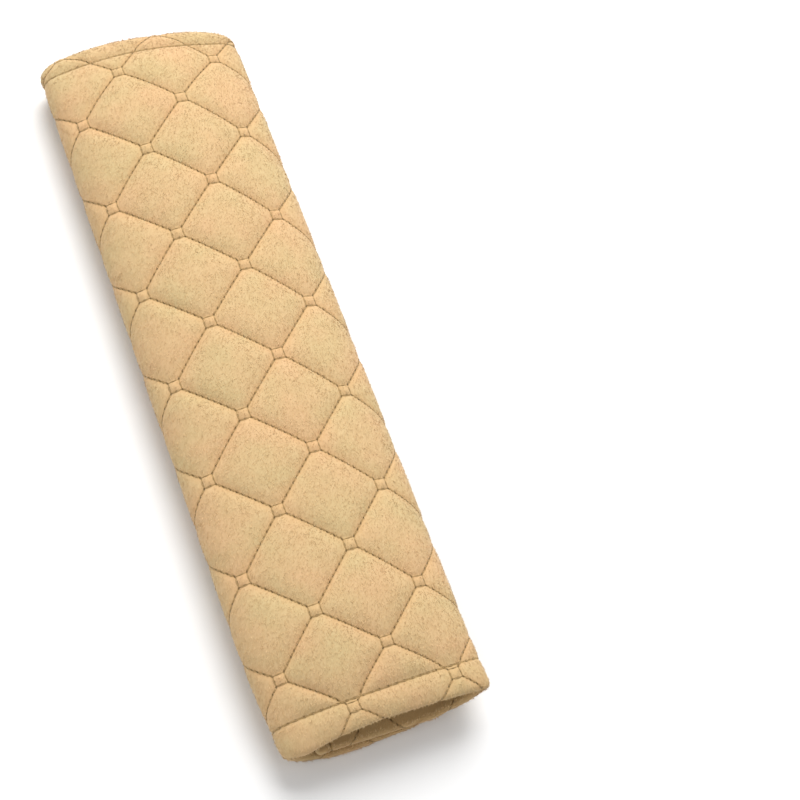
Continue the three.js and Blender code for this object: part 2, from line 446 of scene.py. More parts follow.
@dataclass
class Quilting:
    """The stitched diamonds with their small squares, laid out on the flat sheet in cells."""

    form: WrapForm
    diamond_across: float = 35.8
    diamond_along: float = 34.1
    cells: int = 5
    crossing_from_crown: float = 8.1
    crossing_from_near_end: float = 90.3
    square_half: float = 0.5
    square_spread: float = 0.12
    spread_fade: float = 3.0
    hem_rows: float = 2.25

    def __post_init__(self) -> None:
        """Fits whole cells into the sheet, so that stitch lines run from corner to corner."""
        self.columns = self.even_count(self.form.sheet_width, self.diamond_across)
        self.rows = self.even_count(self.form.length, self.diamond_along)
        self.column_step = self.form.sheet_width / self.columns
        self.row_step = self.form.length / self.rows
        crown = self.form.crown_at + self.crossing_from_crown
        self.crossing_column = math.floor(crown / self.column_step) + 0.5
        self.crossing_row = math.floor(self.crossing_from_near_end / self.row_step) + 0.5
        self.cell = min(self.column_step, self.row_step)
        self.reach = self.cell / math.sqrt(2)

    def even_count(self, length: float, diamond: float) -> int:
        """Even number of cells nearest to the diamond's own."""
        return 2 * round(length / (diamond / 2 / self.cells) / 2)

    def spread(self, cell: Grid, crossing: float, count: int) -> Grid:
        """Shift that widens the small squares, fading out towards the sheet's edges.

        Args:
            cell: Place across or along the sheet in cells.
            crossing: Place of a crossing in cells.
            count: Count of cells in that direction.

        Returns:
            The shift in cells.
        """
        edge = np.minimum(cell, count - cell)
        swell = np.sin(2 * np.pi * (cell - crossing) / self.cells)
        return self.square_spread * swell * smoothstep(edge, 0.0, self.spread_fade)

    def across(self, column: Grid) -> Grid:
        """Distance in mm across the sheet of a column, from the outer flap's edge."""
        return (column + self.spread(column, self.crossing_column, self.columns)) * self.column_step

    def column_at(self, across: float) -> float:
        """Column of a distance in mm across the sheet."""
        column = across / self.column_step
        return float(column - self.spread(np.array(column), self.crossing_column, self.columns))

    def offsets(self, column: Grid, row: Grid) -> tuple[Grid, Grid]:
        """How far places lie from the nearest crossing.

        Args:
            column: Place across the sheet in cells.
            row: Place along the sheet in cells.

        Returns:
            Offsets in cells, across and along.
        """
        period = 2 * self.cells
        found = []
        for shift in (0, self.cells):
            across = np.mod(column - self.crossing_column + shift + self.cells, period) - self.cells
            along = np.mod(row - self.crossing_row + shift + self.cells, period) - self.cells
            found.append((across, along))
        reach = [np.maximum(np.abs(across), np.abs(along)) for across, along in found]
        nearer = reach[0] <= reach[1]
        return tuple(np.where(nearer, found[0][axis], found[1][axis]) for axis in (0, 1))

    def seam_distance(self, column: Grid, row: Grid) -> tuple[Grid, Grid]:
        """Distance in mm to the nearest stitching.

        Args:
            column: Place across the sheet in cells.
            row: Place along the sheet in cells.

        Returns:
            The distance, and whether the place is inside a small square.
        """
        across, along = (np.abs(part) for part in self.offsets(column, row))
        beyond = np.maximum(across, along) - self.square_half
        diagonal = np.abs(across - along) * self.reach
        corner = np.hypot(*(np.maximum(part - self.square_half, 0) for part in (across, along)))
        outside = np.minimum(diagonal, corner * self.cell)
        return np.where(beyond > 0, outside, -beyond * self.cell), beyond <= 0

    def line_distances(self, column: Grid, row: Grid) -> tuple[Grid, Grid]:
        """Distance to the nearest line of each of the two slanting families.

        Args:
            column: Place across the sheet in cells.
            row: Place along the sheet in cells.

        Returns:
            Distances in mm, for each family.
        """
        period = 2 * self.cells
        across, along = column - self.crossing_column, row - self.crossing_row
        turned = (across - along, across + along)
        return tuple(np.abs(np.mod(way + self.cells, period) - self.cells) * self.reach for way in turned)

    def runs(self) -> list[tuple[Grid, Grid]]:
        """Every stitched stretch: the small squares' sides and the diamonds' sides.

        Returns:
            Pairs of places in cells, from one corner to the other.
        """
        half = self.square_half
        corners = [np.array(corner) * half for corner in ((1, 1), (-1, 1), (-1, -1), (1, -1))]
        far_corner = self.cells - half
        found = []
        for i in range(-self.columns, self.columns):
            for j in range(-self.rows, self.rows):
                middle = np.array([self.crossing_column + i * self.cells, self.crossing_row + j * self.cells])
                near_sheet = -self.cells <= middle[0] <= self.columns + self.cells
                near_sheet &= -2 * self.cells <= middle[1] <= self.rows + 2 * self.cells
                if (i + j) % 2 or not near_sheet:
                    continue
                for n, corner in enumerate(corners):
                    found.append((middle + corner, middle + corners[(n + 1) % 4]))
                for corner in corners[:2]:
                    found.append((middle + corner, middle + corner * far_corner / half))
        return found


@dataclass
class QuiltedSheet:
    """The sewn laminate: plush face, turned-in hems and lining, with their relief."""

    form: WrapForm
    quilting: Quilting
    steps: int = 4
    rim_steps: int = 6
    inside_steps: int = 11
    pressed_hem: float = 2.6
    pillow_rise: float = 1.05
    fullness: float = 4.8
    tuft_rise: float = 0.55
    groove: float = 0.4
    groove_width: float = 0.62
    hem_groove: float = 0.3
    flap_edge_stitch: float = 3.6
    flap_edge_puff: float = 0.3
    lining_rise: float = 0.6
    taped_easing_cells: int = 3
    taped_groove: float = 0.5
    hem_easing_cells: int = 6
    hem_dip: float = 0.25
    hem_dip_reach: float = 3.0
    unevenness: float = 0.16
    wave_kinds: tuple = ((0.12, 1.0, 6), (0.3, 0.5, 6), (0.7, 0.2, 3))
    wave_scale: float = 4.0
    side_calm: float = 0.6
    side_level: float = 1.15
    side_width: float = 15.0
    side_core: float = 0.25
    seed: int = 11

    def __post_init__(self) -> None:
        """Draws the waves of the slight unevenness that hand-fed sewing leaves."""
        draw = np.random.default_rng(self.seed)
        self.waves = [
            (draw.uniform(-1, 1, 2) * slope, draw.uniform(0, 2 * np.pi), weight)
            for slope, weight, count in self.wave_kinds
            for _ in range(count)
        ]

    @property
    def rim(self) -> float:
        """Radius of the rolled rim at each end."""
        return self.pressed_hem / 2

    @property
    def lead(self) -> int:
        """Steps of the grid beyond each end, round the rim and into the hem."""
        return self.rim_steps + self.inside_steps

    def grid_lines(self) -> tuple[Grid, Grid]:
        """Lays out the plush face's fine grid.

        Returns:
            Its columns and its rows, in cells.
        """
        columns = np.arange(self.quilting.columns * self.steps + 1)
        rows = np.arange(-self.lead, self.quilting.rows * self.steps + self.lead + 1)
        return columns / self.steps, rows / self.steps

    def waver(self, across: Grid, along: Grid) -> Grid:
        """Slow unevenness of the padding, about -1 to 1."""
        total = sum(w * np.sin(across * v[0] + along * v[1] + phase) for v, phase, w in self.waves)
        return total / self.wave_scale

    def end_distance(self, cells: Grid, far: Grid) -> Grid:
        """Distance in mm from the end for a count of cells from the rim.

        Args:
            cells: Count of cells from the rim.
            far: Whether they are counted from the far end.

        Returns:
            The distance.
        """
        form, quilting = self.form, self.quilting
        hem = quilting.hem_rows
        inside = self.rim + cells * (form.hem_depth - self.rim) / hem
        excess = hem * quilting.row_step - form.hem_depth
        from_near = quilting.spread(cells, quilting.crossing_row, quilting.rows)
        from_far = -quilting.spread(quilting.rows - cells, quilting.crossing_row, quilting.rows)
        shifted = cells + np.where(far, from_far, from_near)
        eased_out = 1 - smoothstep(cells, hem, hem + self.hem_easing_cells)
        beyond = shifted * quilting.row_step - excess * eased_out
        return np.where(cells <= hem, inside, beyond)

    def turn(self, row: Grid) -> tuple[Grid, Grid, Grid, Grid]:
        """Follows the sheet over the rim and into the hem's inner side.

        Args:
            row: Place along the sheet in cells, under 0 or over the count beyond the rim.

        Returns:
            Distance from the end, level of the stitching, angle turned and whether it is the
            far end.
        """
        far = row > self.quilting.rows / 2
        cells = np.where(far, self.quilting.rows - row, row)
        steps = np.maximum(-cells * self.steps, 0.0)
        angle = np.minimum(steps / self.rim_steps, 1.0) * np.pi
        inner = np.maximum(steps - self.rim_steps, 0.0) / self.steps
        flat = self.end_distance(np.where(cells >= 0, cells, inner), far)
        rolled = self.rim * (1 - np.sin(angle))
        on_rim = (cells < 0) & (steps < self.rim_steps)
        return np.where(on_rim, rolled, flat), self.rim * (np.cos(angle) - 1), angle, far

    def taped(self, from_edge: Grid, bend: float) -> Grid:
        """1 where the tapes hold a flap flat, 0 where it bulges freely."""
        easing = self.quilting.column_step * self.taped_easing_cells
        return 1 - smoothstep(from_edge, bend, bend + easing)

    def relief(self, column: Grid, row: Grid) -> Grid:
        """Height of the plush face over its stitching level.

        Args:
            column: Place across the sheet in cells.
            row: Place along the sheet in cells, beyond the rims too.

        Returns:
            The height in mm.
        """
        form, quilting = self.form, self.quilting
        column, row = np.broadcast_arrays(column, row)
        across = quilting.across(column)
        end, _, angle, _ = self.turn(row)
        seam, in_square = quilting.seam_distance(column, row)
        edge = form.from_flap_edge(across) - self.flap_edge_stitch
        past_hem = end - form.hem_depth
        on_band = (angle > 0) | (past_hem <= 0)
        held = self.taped(form.sheet_width - across, self.flat_of_inner)

        full = self.filled(*quilting.line_distances(column, row), past_hem, edge)
        full = full * (self.pillow_rise + self.unevenness * self.waver(across, end))
        tuft_reach = quilting.square_half * quilting.row_step
        tuft = self.tuft_rise * np.sin(np.clip(seam / tuft_reach, 0, 1) * np.pi / 2)
        body = np.where(in_square & (past_hem > 0), np.minimum(tuft, full + tuft), full)
        body = body + self.flap_edge_puff * np.sin(np.clip(-edge / self.flap_edge_stitch, 0, 1) * np.pi)
        body = body * (1 - held) + np.minimum(body, form.taped_rise) * held

        puff = np.sin(np.pi * np.clip(end / form.hem_depth, 0, 1))
        rolled = np.sin(np.pi * self.rim / form.hem_depth) * (1 - angle / np.pi)
        band = form.hem_rise * np.where(angle > 0, rolled, puff)
        band = band * (1 - self.hem_dip + self.hem_dip * np.clip(seam / self.hem_dip_reach, 0, 1))

        fade = np.clip(1 + edge / self.flap_edge_stitch, 0, 1)
        cut = np.where(on_band, self.hem_groove, self.groove) * self.pulled(seam) * fade
        cut = np.maximum(cut, self.groove * self.pulled(past_hem) * (angle <= 0))
        cut = np.maximum(cut, self.hem_groove * self.pulled(edge))
        height = np.where(on_band, band, body) - cut * (1 - self.taped_groove * held)
        return height + self.calm(across) * (self.side_level - height)

    def filled(self, *distances: Grid) -> Grid:
        """Share of a pillow's full height at places by their distances from its seams.

        Args:
            distances: Distances in mm from each seam.

        Returns:
            The share, 0 on a seam and 1 in the middle.
        """
        reach = self.quilting.reach * self.quilting.cells
        share = 1.0
        for distance in distances:
            share = share * (1 - (1 - np.clip(distance / reach, 0, 1)) ** self.fullness)
        return share

    def pulled(self, distance: Grid) -> Grid:
        """1 on a seam, falling smoothly to 0 beside its groove."""
        return np.exp(-((distance / self.groove_width) ** 2))

    def calm(self, across: Grid) -> Grid:
        """How much the relief is evened out where the sheet is pulled round a fold.

        Args:
            across: Distance across the sheet from the outer flap's edge.

        Returns:
            The share, 0 to side_calm.
        """
        away = np.minimum(*(np.abs(across - side) for side in self.form.widest))
        return self.side_calm * (1 - smoothstep(away, self.side_width * self.side_core, self.side_width))

    @property
    def flat_of_inner(self) -> float:
        """Width of the inner flap that the tape holds flat, from its free edge."""
        form = self.form
        return form.tape_width + form.inner_bend_clearance + form.flap_border

    @property
    def flat_of_outer(self) -> float:
        """Width of the outer flap that the tape holds flat, from its free edge."""
        form = self.form
        return form.tape_width + form.outer_bend_clearance + form.flap_border

    def plush_point(self, column: Grid, row: Grid, lift: Grid = 0.0) -> Grid:
        """Points of the plush face.

        Args:
            column: Place across the sheet in cells.
            row: Place along the sheet in cells, beyond the rims too.
            lift: Height over the face.

        Returns:
            Points in mm, in the last axis.
        """
        column, row, lift = np.broadcast_arrays(column, row, lift)
        end, level, angle, far = self.turn(row)
        height = self.relief(column, row) + lift
        across = self.quilting.across(column)
        return self.form.place(
            across, end - height * np.sin(angle), far, level + height * np.cos(angle), 0.0
        )

    def lining_point(self, column: Grid, row: Grid, lift: Grid = 0.0) -> Grid:
        """Points of the lining face.

        Args:
            column: Place across the sheet in cells.
            row: Place along the sheet in cells.
            lift: Height over the face.

        Returns:
            Points in mm, in the last axis.
        """
        form, quilting = self.form, self.quilting
        column, row, lift = np.broadcast_arrays(column, row, lift)
        across = quilting.across(column)
        end, _, _, far = self.turn(row)
        seam, _ = quilting.seam_distance(column, row)
        full = self.lining_rise * self.filled(seam)
        held = self.taped(across, self.flat_of_outer)
        full = full * (1 - held) + np.minimum(full, form.taped_rise) * held
        return form.place(across, end, far, -(form.sheet_thickness + full + lift), 0.0)


class MeshMaker:
    """Collects vertices, faces and vertex values of one mesh."""

    def __init__(self) -> None:
        """Starts an empty mesh."""
        self.points: list[Grid] = []
        self.values: dict[str, list[Grid]] = {}
        self.faces: list[tuple[int, ...]] = []
        self.finishes: list[int] = []
        self.count = 0

    def add_points(self, points: Grid, **values: Grid) -> Grid:
        """Adds points with their values.

        Args:
            points: Points in mm, in the last axis.
            values: Vector values of the points, by name, in the last axis.

        Returns:
            Indices in the points' own layout.
        """
        layout = points.shape[:-1]
        number = int(np.prod(layout))
        self.points.append(points.reshape(-1, 3))
        for name, value in values.items():
            spread = np.broadcast_to(value, (*layout, 3)).reshape(-1, 3)
            self.values.setdefault(name, []).append(spread)
        self.count += number
        return np.arange(self.count - number, self.count).reshape(layout)

    def add_faces(self, faces: Grid | list, finish: int = 0) -> None:
        """Adds faces that share one finish.

        Args:
            faces: Vertex indices of each face.
            finish: Number of the finish.
        """
        rows = [tuple(int(index) for index in face) for face in faces]
        self.faces.extend(rows)
        self.finishes.extend([finish] * len(rows))

    def add_tubes(self, index: Grid, finish: int = 0) -> None:
        """Adds closed tubes with flat ends.

        Args:
            index: Vertex indices by tube, station and side.
            finish: Number of the finish.
        """
        self.add_faces(quads_between(np.concatenate([index, index[..., :1]], -1)), finish)
        self.add_faces(index[:, 0, ::-1], finish)
        self.add_faces(index[:, -1], finish)

    def build(
        self, name: str, finishes: list[bpy.types.Material], closed: bool = True
    ) -> bpy.types.Object:
        """Makes the object, in metres, with its faces turned outwards where it is closed.

        Args:
            name: Name of the object.
            finishes: Materials, in the order of the faces' finish numbers.
            closed: Whether the mesh is closed.

        Returns:
            The object, placed at the origin.
        """
        mesh = bpy.data.meshes.new(name)
        points = np.concatenate(self.points)
        points[:, 2] = np.maximum(points[:, 2], LOWEST)
        mesh.from_pydata((points * MM).tolist(), [], self.faces)
        for material in finishes:
            mesh.materials.append(material)
        mesh.polygons.foreach_set("material_index", self.finishes)
        mesh.polygons.foreach_set("use_smooth", [True] * len(self.faces))
        for key, parts in self.values.items():
            layer = mesh.attributes.new(key, "FLOAT_VECTOR", "POINT")
            layer.data.foreach_set("vector", np.concatenate(parts).astype(np.float32).ravel())
        mesh.update()
        piece = bpy.data.objects.new(name, mesh)
        bpy.context.collection.objects.link(piece)
        if closed:
            turn_outwards(mesh)
        return piece


def turn_outwards(mesh: bpy.types.Mesh) -> None:
    """Turns all faces of a closed mesh outwards, and reports whether it is closed.

    Args:
        mesh: The mesh.
    """
    work = bmesh.new()
    work.from_mesh(mesh)
    bmesh.ops.recalc_face_normals(work, faces=work.faces)
    loose = sum(1 for edge in work.edges if len(edge.link_faces) != 2)
    work.to_mesh(mesh)
    work.free()
    log.info("%s: %d faces, %d open edges", mesh.name, len(mesh.polygons), loose)


@dataclass
class QuiltedWrap:
    """The folded sheet as one closed mesh."""

    sheet: QuiltedSheet
    edge_steps: int = 4

    def build(self, plush: bpy.types.Material, lining: bpy.types.Material) -> bpy.types.Object:
        """Builds the closed mesh.

        Args:
            plush: Finish of the pile side and the turned-in hems.
            lining: Finish of the side that faces the belt.

        Returns:
            The wrap.
        """
        sheet = self.sheet
        maker = MeshMaker()
        columns, rows = sheet.grid_lines()
        column, row = np.meshgrid(columns, rows, indexing="ij")
        face = maker.add_points(sheet.plush_point(column, row), **self.values(column, row))
        maker.add_faces(quads_between(face))

        first = sheet.lead + sheet.inside_steps + 1
        last = len(rows) - 1 - first
        column, row = np.meshgrid(columns[::2], rows[first:last + 1:2], indexing="ij")
        back = maker.add_points(sheet.lining_point(column, row), **self.values(column, row))
        maker.add_faces(quads_between(back), 1)
        maker.add_faces(self.two_to_one(face[:, 0], back[:, 0]), 1)
        maker.add_faces(self.two_to_one(face[:, -1], back[:, -1]), 1)
        for side in (0, -1):
            self.roll_edge(maker, face[side], back[side], columns[side], rows, first)
        return maker.build("plush_wrap", [plush, lining])

    def values(self, column: Grid, row: Grid) -> dict[str, Grid]:
        """Vertex values that the finishes read.

        Args:
            column: Place across the sheet in cells.
            row: Place along the sheet in cells.

        Returns:
            quilt_place in cells from a crossing, with how far the sheet has turned in,
            sheet_place in mm on the flat sheet, and seam_place with the distances to the
            hem's and the flap edge's stitching.
        """
        sheet, form, quilting = self.sheet, self.sheet.form, self.sheet.quilting
        column, row = np.broadcast_arrays(column, row)
        across = quilting.across(column)
        end, _, angle, _ = sheet.turn(row)
        zero = np.zeros_like(across)
        offset = (column - quilting.crossing_column, row - quilting.crossing_row)
        quilt = np.stack([*offset, angle / np.pi], -1)
        flat = np.stack([across, row * quilting.row_step, zero], -1)
        edge = form.from_flap_edge(across) - sheet.flap_edge_stitch
        seams = np.stack([end - form.hem_depth, edge, zero], -1)
        return {"quilt_place": quilt, "sheet_place": flat, "seam_place": seams}

    def two_to_one(self, fine: Grid, coarse: Grid) -> list[tuple[int, ...]]:
        """Triangles between a row of vertices and one with half as many steps.

        Args:
            fine: Vertex indices of the finer row.
            coarse: Vertex indices of the coarser row.

        Returns:
            The triangles.
        """
        faces = []
        for n in range(len(coarse) - 1):
            left, middle, right = fine[2 * n:2 * n + 3]
            faces += [(left, middle, coarse[n]), (middle, right, coarse[n + 1])]
            faces.append((middle, coarse[n + 1], coarse[n]))
        return faces

    def roll_edge(
        self, maker: MeshMaker, face: Grid, back: Grid, column: float, rows: Grid, first: int
    ) -> None:
        """Rolls a free edge of the sheet over from the plush to its inner side.

        Args:
            maker: The mesh in the making.
            face: Indices of the plush grid's border.
            back: Indices of the lining grid's border.
            column: Place of the edge across the sheet in cells.
            rows: Rows of the plush grid in cells.
            first: Row number of the plush grid at which the lining starts.
        """
        sheet = self.sheet
        outwards = -1.0 if column == 0 else 1.0
        apex = sheet.lead - sheet.rim_steps // 2
        chosen = np.arange(apex + 1, len(rows) - 1 - apex)
        row = rows[chosen]
        end, _, angle, far = sheet.turn(row)
        in_hem = (chosen < first) | (chosen > len(rows) - 1 - first)
        thick = np.where(in_hem, sheet.pressed_hem, sheet.form.sheet_thickness)
        radius = thick / 2 * np.cos(angle)
        middle = np.where(angle > 0, -sheet.rim, -thick / 2)
        turned = np.arange(1, self.edge_steps) * np.pi / self.edge_steps
        rise = middle + radius * np.cos(turned)[:, None]
        past = outwards * radius * np.sin(turned)[:, None]
        across = np.full_like(rise, sheet.quilting.across(np.array(column)))
        points = sheet.form.place(across, end, far, rise, past)
        roll = maker.add_points(points, **self.values(np.full_like(rise, column), row))

        partner = self.partners(face, back, chosen, first)
        for n in range(len(chosen) - 1):
            ladder = [face[chosen[n]], *roll[:, n]]
            following = [face[chosen[n + 1]], *roll[:, n + 1]]
            for step in range(len(ladder) - 1):
                corners = (ladder[step], following[step], following[step + 1], ladder[step + 1])
                maker.add_faces([corners])
            self.join_partner(maker, roll[-1], partner, n)
        for tip, at in ((apex, 0), (len(rows) - 1 - apex, len(chosen) - 1)):
            fan = [face[chosen[at]], *roll[:, at], partner[at]]
            maker.add_faces([(face[tip], fan[n], fan[n + 1]) for n in range(len(fan) - 1)])

    def partners(self, face: Grid, back: Grid, chosen: Grid, first: int) -> list[int | None]:
        """Vertex on the inner side that each rolled row ends at.

        Args:
            face: Indices of the plush grid's border.
            back: Indices of the lining grid's border.
            chosen: Row numbers of the plush grid that are rolled over.
            first: Row number of the plush grid at which the lining starts.

        Returns:
            The vertices, None between lining rows.
        """
        top = len(face) - 1
        mirror = 2 * self.sheet.lead - self.sheet.rim_steps
        found: list[int | None] = []
        for at in chosen:
            if at < first:
                found.append(face[mirror - at])
            elif at > top - first:
                found.append(face[2 * top - mirror - at])
            else:
                found.append(back[(at - first) // 2] if (at - first) % 2 == 0 else None)
        return found

    def join_partner(self, maker: MeshMaker, roll: Grid, partner: list[int | None], n: int) -> None:
        """Joins two rows of the roll's last line to their partners on the inner side.

        Args:
            maker: The mesh in the making.
            roll: Indices of the roll's last line.
            partner: Vertex on the inner side of each row, None between lining rows.
            n: Number of the first of the two rows.
        """
        here, following = partner[n], partner[n + 1]
        if here is not None and following is not None:
            maker.add_faces([(roll[n], roll[n + 1], following, here)])
        elif here is not None:
            maker.add_faces([(roll[n], roll[n + 1], here), (roll[n + 1], partner[n + 2], here)])
        else:
            maker.add_faces([(roll[n], roll[n + 1], following)])


@dataclass(frozen=True)
class Thread:
    """Sewing thread and how its stitches lie."""

    radius: float = 0.17
    pitch: float = 2.4
    gap: float = 0.42
    arch: float = 0.16
    dive: float = 1.3
    end_thickness: float = 0.45
    sides: int = 6
    stations: int = 5


@dataclass
class Stitching:
    """Rows of single stitches that dive into the sheet at both ends."""

    sheet: QuiltedSheet
    thread: Thread
    side: Side = Side.PLUSH
    starts: list[Grid] = field(default_factory=list)
    ends: list[Grid] = field(default_factory=list)

    def run(self, start: Grid, end: Grid) -> None:
        """Sews a straight stretch.

        Args:
            start: Place in cells where it starts.
            end: Place in cells where it ends.
        """
        quilting = self.sheet.quilting
        size = np.array([quilting.column_step, quilting.row_step])
        length = float(np.linalg.norm((end - start) * size))
        count = max(1, round(length / self.thread.pitch))
        bounds = np.linspace(0, 1, count + 1)[:, None]
        holes = start + (end - start) * bounds
        inset = (end - start) * self.thread.gap / 2 / length
        self.starts.extend(holes[:-1] + inset)
        self.ends.extend(holes[1:] - inset)

    def keep(self, wanted: Grid) -> None:
        """Keeps only the stitches marked in an array of truth values."""
        self.starts = [start for start, keep in zip(self.starts, wanted) if keep]
        self.ends = [end for end, keep in zip(self.ends, wanted) if keep]

    def build(self, maker: MeshMaker) -> None:
        """Adds the stitches as closed, bent tubes.

        Args:
            maker: The mesh in the making.
        """
        thread = self.thread
        start, end = np.array(self.starts), np.array(self.ends)
        share = np.linspace(0, 1, thread.stations)
        cells = start[:, None] + (end - start)[:, None] * share[:, None]
        bow = np.sin(share * np.pi)
        lift = thread.arch * bow - thread.radius * (1 - bow) * thread.dive
        point = self.sheet.plush_point if self.side is Side.PLUSH else self.sheet.lining_point
        centre = point(cells[..., 0], cells[..., 1], lift)
        above = point(cells[..., 0], cells[..., 1], lift + 1.0) - centre
        along = unit(np.gradient(centre, axis=1))
        beside = unit(np.cross(along, above))
        above = np.cross(beside, along)
        turn = np.arange(thread.sides) * 2 * np.pi / thread.sides
        radius = thread.radius * (thread.end_thickness + (1 - thread.end_thickness) * np.sqrt(bow))
        ring = np.cos(turn)[:, None] * beside[..., None, :] + np.sin(turn)[:, None] * above[..., None, :]
        points = centre[..., None, :] + ring * radius[:, None, None]
        length = np.linalg.norm(centre[:, -1] - centre[:, 0], axis=-1)
        strand = np.zeros(points.shape)
        strand[..., 0] = (length[:, None] * share)[..., None]
        strand[..., 1] = turn / (2 * np.pi)
        maker.add_tubes(maker.add_points(points, strand_place=strand))


@dataclass
class QuiltThread:
    """Thread of the diamonds and small squares, on one side of the sheet."""

    sheet: QuiltedSheet
    side: Side
    thread: Thread

    def build(self, name: str, finish: bpy.types.Material) -> bpy.types.Object:
        """Builds the thread of one side.

        Args:
            name: Name of the piece.
            finish: Finish of the thread.

        Returns:
            The piece.
        """
        sheet, quilting = self.sheet, self.sheet.quilting
        sewing = Stitching(sheet, self.thread, self.side)
        for start, end in quilting.runs():
            sewing.run(start, end)
        middle = (np.array(sewing.starts) + np.array(sewing.ends)) / 2
        across = quilting.across(middle[:, 0])
        border = sheet.flap_edge_stitch + self.thread.pitch / 2
        inside = sheet.form.from_flap_edge(across) > border
        lead = sheet.lead - 1 if self.side is Side.PLUSH else -(sheet.inside_steps + 2)
        lead /= sheet.steps
        reach = (middle[:, 1] > -lead) & (middle[:, 1] < quilting.rows + lead)
        sewing.keep(inside & reach)
        maker = MeshMaker()
        sewing.build(maker)
        return maker.build(name, [finish])


@dataclass
class EdgeThread:
    """Straight rows of stitches: both hems, both flap edges and the tapes' borders."""

    sheet: QuiltedSheet
    thread: Thread
    from_flap: float = 0.35
    from_rim: float = 0.2
    from_hem: float = 0.75
    from_hem_inside: float = 1.05

    def build(self, name: str, finish: bpy.types.Material) -> bpy.types.Object:
        """Builds all straight rows as one piece.

        Args:
            name: Name of the piece.
            finish: Finish of the thread.

        Returns:
            The piece.
        """
        sheet, form, quilting = self.sheet, self.sheet.form, self.sheet.quilting
        plush = Stitching(sheet, self.thread, Side.PLUSH)
        lining = Stitching(sheet, self.thread, Side.LINING)
        inner_hem = quilting.hem_rows + sheet.rim_steps / sheet.steps
        side = self.from_flap
        for row in (quilting.hem_rows, -inner_hem):
            for place in (row, quilting.rows - row):
                plush.run(np.array([side, place]), np.array([quilting.columns - side, place]))
        edge = quilting.column_at(sheet.flap_edge_stitch)
        for column in (edge, quilting.columns - edge):
            self.lengthways(plush, column, self.from_rim)
            self.lengthways(lining, column, quilting.hem_rows + self.from_hem_inside)
        inset = form.flap_border + TAPE_STITCH_INSET
        for across in (inset, inset + form.tape_width - 2 * TAPE_STITCH_INSET):
            for place in (across, form.sheet_width - across):
                sewing = plush if place < form.crown_at else lining
                self.lengthways(sewing, quilting.column_at(place), quilting.hem_rows + self.from_hem)
        maker = MeshMaker()
        plush.build(maker)
        lining.build(maker)
        return maker.build(name, [finish])

    def lengthways(self, sewing: Stitching, column: float, from_end: float) -> None:
        """Sews a row along the pad.

        Args:
            sewing: The stitches of one side.
            column: Place of the row across the sheet in cells.
            from_end: Distance in cells that it keeps from both ends.
        """
        start, end = from_end, self.sheet.quilting.rows - from_end
        sewing.run(np.array([column, start]), np.array([column, end]))


class TapeKind(Enum):
    """Which half of the touch fastener a tape is."""

    HOOKS = "hooks"
    LOOPS = "loops"


@dataclass(frozen=True)
class Wire:
    """Course of one standing wire, leaning in mm and rising in heights of the field, and how
    far the wires differ."""

    lean: tuple[float, ...]
    rise: tuple[float, ...]
    scatter: float
    sideways: float
    shortest: float


WIRES = {
    TapeKind.HOOKS: Wire(
        lean=(0.0, 0.0, 0.05, 0.28, 0.5, 0.52), rise=(-0.1, 0.45, 0.8, 1.0, 0.78, 0.5),
        scatter=0.0, sideways=0.15, shortest=1.0,
    ),
    TapeKind.LOOPS: Wire(
        lean=tuple(-0.55 * math.cos(math.pi * step / 5) for step in range(6)),
        rise=(-0.1, 0.7, 1.0, 1.0, 0.7, -0.1), scatter=0.22, sideways=1.0, shortest=0.75,
    ),
}


